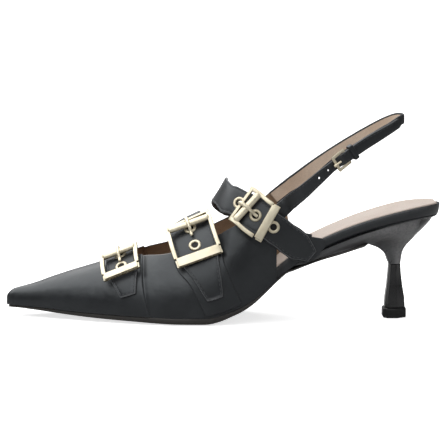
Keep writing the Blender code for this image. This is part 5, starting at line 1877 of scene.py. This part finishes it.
@dataclass
class Heel:
    """The covered cup, the faceted stem and the top piece."""

    stem_top: float = 0.0328
    top_height: float = 0.0060
    proud: float = 0.0011
    past_sole: float = 0.006
    lip_rows: int = 6
    cup_round: float = 0.45
    # Share of the cup's length where its painted highlight ends and the back strip in the stem's
    # black lacquer, a painted shade, begins.
    crease: float = 0.895
    broken_edge: float = 0.00022
    broken_over: float = 14.0
    rows: Rows = (
        (0.664, 0.000, 0.9860, 1.000, 0.322, 1.00),
        (0.686, 0.000, 0.9790, 0.917, 0.310, 0.86),
        (0.727, 0.000, 0.9720, 0.843, 0.288, 0.68),
        (0.769, 0.000, 0.9600, 0.726, 0.250, 0.48),
        (0.796, 0.000, 0.9530, 0.663, 0.228, 0.38),
        (0.822, 0.000, 0.9460, 0.600, 0.205, 0.28),
        (0.8420, 0.420, 0.9345, 0.490, 0.155, 0.12),
        (0.8600, 0.336, 0.9225, 0.365, 0.118, 0.04),
        (0.8750, 0.200, 0.9150, 0.230, 0.097, 0.00),
        (0.8835, 0.000, 0.9110, 0.000, 0.089, 0.00),
    )
    stem: Rows = (
        (0.8840, 0.9110, 1.00, 0.0850), (0.8825, 0.9125, 0.78, 0.0835),
        (0.8800, 0.9160, 0.50, 0.0875), (0.8765, 0.9205, 0.24, 0.0950),
        (0.8752, 0.9220, 0.00, 0.0980),
    )
    facets: Rows = ((0.0, 0.55), (0.16, 1.0), (0.60, 1.0), (1.0, 0.42))

    def build(self, finish: Finishes) -> None:
        """The heel's three pieces."""
        self.cup(finish)
        self.stem_and_top(finish)

    def neck(self, share: Array) -> Array:
        """Height of a share of the way from the stem up to the seat."""
        neck = self.stem_top + CLEARANCE
        return neck + (LAST.feather(1.0) - neck) * share

    def hump(self, at: Array) -> Array:
        """How far the seat line stands above its own chord."""
        front, back = self.rows[0][0], self.rows[0][2]
        share = (at - front) / (back - front)
        return (LAST.feather(at) - LAST.feather(front)
                - (LAST.feather(back) - LAST.feather(front)) * share)

    def cup(self, finish: Finishes) -> None:
        """The flared cup, in many sections between the table's own."""
        table = []
        for k, (front, front_z, back, back_z, half, bow) in enumerate(self.rows):
            low = (LAST.feather(front) - LAST.lip_depth(front) if k < self.lip_rows
                   else self.neck(front_z))
            flat = 0.30 if k >= self.lip_rows else 0.12
            table.append((k, front, float(low), back, float(self.neck(back_z)), half, bow, flat))
        read = Table(("k", "front", "low", "back", "high", "half", "bow", "flat"), table)
        shares = np.concatenate([np.linspace(0, 0.9, 28), 1 - 0.1 * np.linspace(0.85, 0, 9) ** 2])
        wide_row = self.rows[3][4]
        # A painted highlight that rises along the side to just ahead of the back crease.
        pale = np.where(shares < self.crease, ease((shares - 0.25) / 0.5), 0.0)
        rings = []
        for k in np.concatenate([[0, 0.15], np.linspace(0.4, len(self.rows) - 1, 50)]):
            front, low, back, high, half, bow, flat = (
                float(read.read(k, name)) for name in read.names[1:])
            at = front + (back - front) * shares
            hump = self.hump(at) - self.hump(front) * (1 - shares) - self.hump(back) * shares
            z = low + (high - low) * shares + bow * hump
            z = np.where(at <= SOLE_END + self.past_sole,
                         np.maximum(z, LAST.feather(at) - LAST.lip_depth(at)), z)
            z = z + (LAST.feather(at) - CLEARANCE - z) * max(0.0, 1 - k)
            draft = DRAFT * ease((at - INNER_REAR) / (1 - INNER_REAR) * 3)
            full = LAST.half(np.minimum(at, 1 - LAST.seat_round)) - draft - CLEARANCE
            keep = 1 - ease(shares / (1 - self.cup_round))
            wide = (full * keep * min(1.0, half / wide_row)
                    + half * LAST.ball_width * (1 - keep))
            past = np.clip((shares - 1 + self.cup_round) / self.cup_round, 0, 1)
            y = wide * (flat + (1 - flat) * np.sqrt(1 - past**2.3))
            x, middle = LAST.x(at), LAST.middle(at)
            near = np.stack([x, middle - y, z], -1)
            far = np.stack([x, middle + y, z], -1)[::-1]
            rings.append(np.concatenate([near, far]))
        cut = Cut()
        # Faces behind the crease take the stem's black lacquer: painted shade on the back.
        first = int(np.argmax(shares > self.crease))
        turns = 2 * len(shares)
        marks = [int(first <= j < turns - 1 - first) for j in range(turns)]
        rim = np.tile(np.concatenate([pale, pale[::-1]]), (len(rings), 1))
        cut.tube(np.array(rings), marks, rim=rim)
        dress(cut.made("covered_heel_cup", 60), (finish.cup, finish.stem),
              ["heel_block"])

    def facet_ring(self, front: float, back: float, z: float, half: float,
                   proud: float = 0.0) -> Array:
        """One section of the stem."""
        side = []
        run = float(LAST.x(back) - LAST.x(front)) + proud * 1.6
        for share, wide in self.facets:
            side.append((float(LAST.x(front)) - proud + run * share, half * wide + proud, z))
        ring = [(x, -y, z) for x, y, z in side] + [(x, y, z) for x, y, z in reversed(side)]
        return np.array(ring)

    def stem_and_top(self, finish: Finishes) -> None:
        """The lacquered stem and the top piece, with finely broken edges."""
        low = self.top_height + CLEARANCE
        rings = [self.facet_ring(front, back, low + (self.stem_top - low) * high,
                                 half * LAST.ball_width)
                 for front, back, high, half in self.stem]
        front, back, _, half = self.stem[-1]
        tops = [self.facet_ring(front, back, self.top_height * share, half * LAST.ball_width,
                                self.proud * proud)
                for share, proud in ((1.0, 0.6), (0.9, 1.0), (0.1, 1.0), (0.0, 0.6))]
        for name, sections, slot, material, node in (
            ("faceted_stem", rings, Slot.STEM, finish.stem, "heel_stem"),
            ("rubber_top_piece", tops, Slot.TOP_PIECE, finish.rubber, "heel_top_piece"),
        ):
            cut = Cut()
            cut.tube(np.array(sections))
            piece = cut.made(name, 12)
            soft = piece.modifiers.new("broken edge", "BEVEL")
            soft.width, soft.segments = self.broken_edge, 3
            soft.limit_method, soft.angle_limit = "ANGLE", math.radians(self.broken_over)
            dress(piece, (material,), [node])


# Studio.


@dataclass
class Studio:
    """The pale floor, soft lights and the camera."""

    distance: float = 1.15
    elevation: float = 6.3
    focal: float = 155.1
    target: tuple[float, float, float] = (0.0152, 0.0, 0.0591)
    floor_glow: float = 0.72
    floor_side: float = 3.0
    floor_front: float = -7.0
    floor_back: float = 0.9
    sweep: float = 0.7
    wall_top: float = 2.2
    sunk: float = 0.00002
    bounce: float = 0.42
    paper: float = 0.94
    air: float = 0.09
    boxes: tuple[tuple, ...] = (
        ("top_box", (-0.40, 0.35, 1.05), (0.0, 0.0, 0.03), (2.1, 1.8), 25.0),
        ("front_box", (-0.35, -1.00, 0.90), (0.0, 0.0, 0.05), (1.2, 0.7), 5.5),
        ("side_box", (1.1, -0.9, 0.9), (0.05, 0.0, 0.05), (0.7, 0.7), 2.5),
    )

    def build(self) -> None:
        """Set the studio up."""
        bpy.context.scene.view_settings.view_transform = "Standard"
        self.floor()
        self.lights()
        self.camera()

    def floor(self) -> None:
        """A pale floor that the shoe stands on, curving up behind."""
        mesh = bpy.data.meshes.new("studio_floor")
        turns = [math.radians(a) for a in range(10, 91, 10)]
        profile = [(self.floor_front, 0.0), (self.floor_back, 0.0)]
        profile += [(self.floor_back + self.sweep * math.sin(a),
                     self.sweep - self.sweep * math.cos(a)) for a in turns]
        profile += [(self.floor_back + self.sweep, self.wall_top)]
        flat = [(x, y, z - self.sunk) for y, z in profile
                for x in (-self.floor_side, self.floor_side)]
        faces = [(2 * i, 2 * i + 1, 2 * i + 3, 2 * i + 2) for i in range(len(profile) - 1)]
        mesh.from_pydata(flat, [], faces)
        mesh.shade_smooth()
        floor = placed("studio_floor", mesh)
        paint = bpy.data.materials.new("studio_paint")
        paint.use_nodes = True
        shader = paint.node_tree.nodes["Principled BSDF"]
        shader.inputs["Roughness"].default_value = 0.9
        shader.inputs["Specular IOR Level"].default_value = 0.1
        shader.inputs["Emission Color"].default_value = (1, 1, 1, 1)
        nodes = Nodes(paint.node_tree)
        seen = nodes.add("ShaderNodeLightPath").outputs["Is Camera Ray"]
        tone = nodes.mix(seen, (*[self.bounce] * 3, 1), (*[self.paper] * 3, 1))
        glow = nodes.math("MULTIPLY", seen, self.floor_glow)
        nodes.send(shader, Base_Color=tone, Emission_Strength=glow)
        mesh.materials.append(paint)

    @staticmethod
    def lamp(name: str, place: Sequence[float], aim: Sequence[float],
             size: tuple[float, float], power: float) -> None:
        """Add a soft box.

        Args:
            name: its name.
            place, aim: where it is and what it points at.
            size: its width and height.
            power: in watts.
        """
        data = bpy.data.lights.new(name, "AREA")
        data.shape, data.size, data.size_y, data.energy = "RECTANGLE", *size, power
        lamp = placed(name, data)
        lamp.location = place
        lamp.rotation_euler = (Vector(aim) - Vector(place)).to_track_quat("-Z", "Y").to_euler()

    def lights(self) -> None:
        """Soft boxes above, in front and at the sides, and pale surroundings."""
        for box in self.boxes:
            self.lamp(*box)
        world = bpy.data.worlds.new("studio_air")
        world.use_nodes = True
        sky = world.node_tree.nodes["Background"].inputs
        sky["Color"].default_value, sky["Strength"].default_value = (1, 1, 1, 1), self.air
        bpy.context.scene.world = world

    def camera(self) -> None:
        """The photograph's view."""
        data = bpy.data.cameras.new("photo_camera")
        data.lens, data.sensor_width, data.sensor_fit = self.focal, 36.0, "HORIZONTAL"
        camera = placed("photo_camera", data)
        tilt = math.radians(self.elevation)
        away = Vector((0.0, -math.cos(tilt), math.sin(tilt))) * self.distance
        camera.location = Vector(self.target) + away
        camera.rotation_euler = (-away).to_track_quat("-Z", "Y").to_euler()
        bpy.context.scene.camera = camera


def main() -> None:
    """Build the shoe's looks and the studio."""
    logging.basicConfig(level=logging.INFO, format="%(name)s: %(message)s")
    finish = Finishes()
    Studio().build()
    Upper().build(finish)
    Bottom().build(finish)
    Heel().build(finish)
    StrapSet().build(finish)
    Sling().build(finish)


if __name__ == "__main__":
    main()
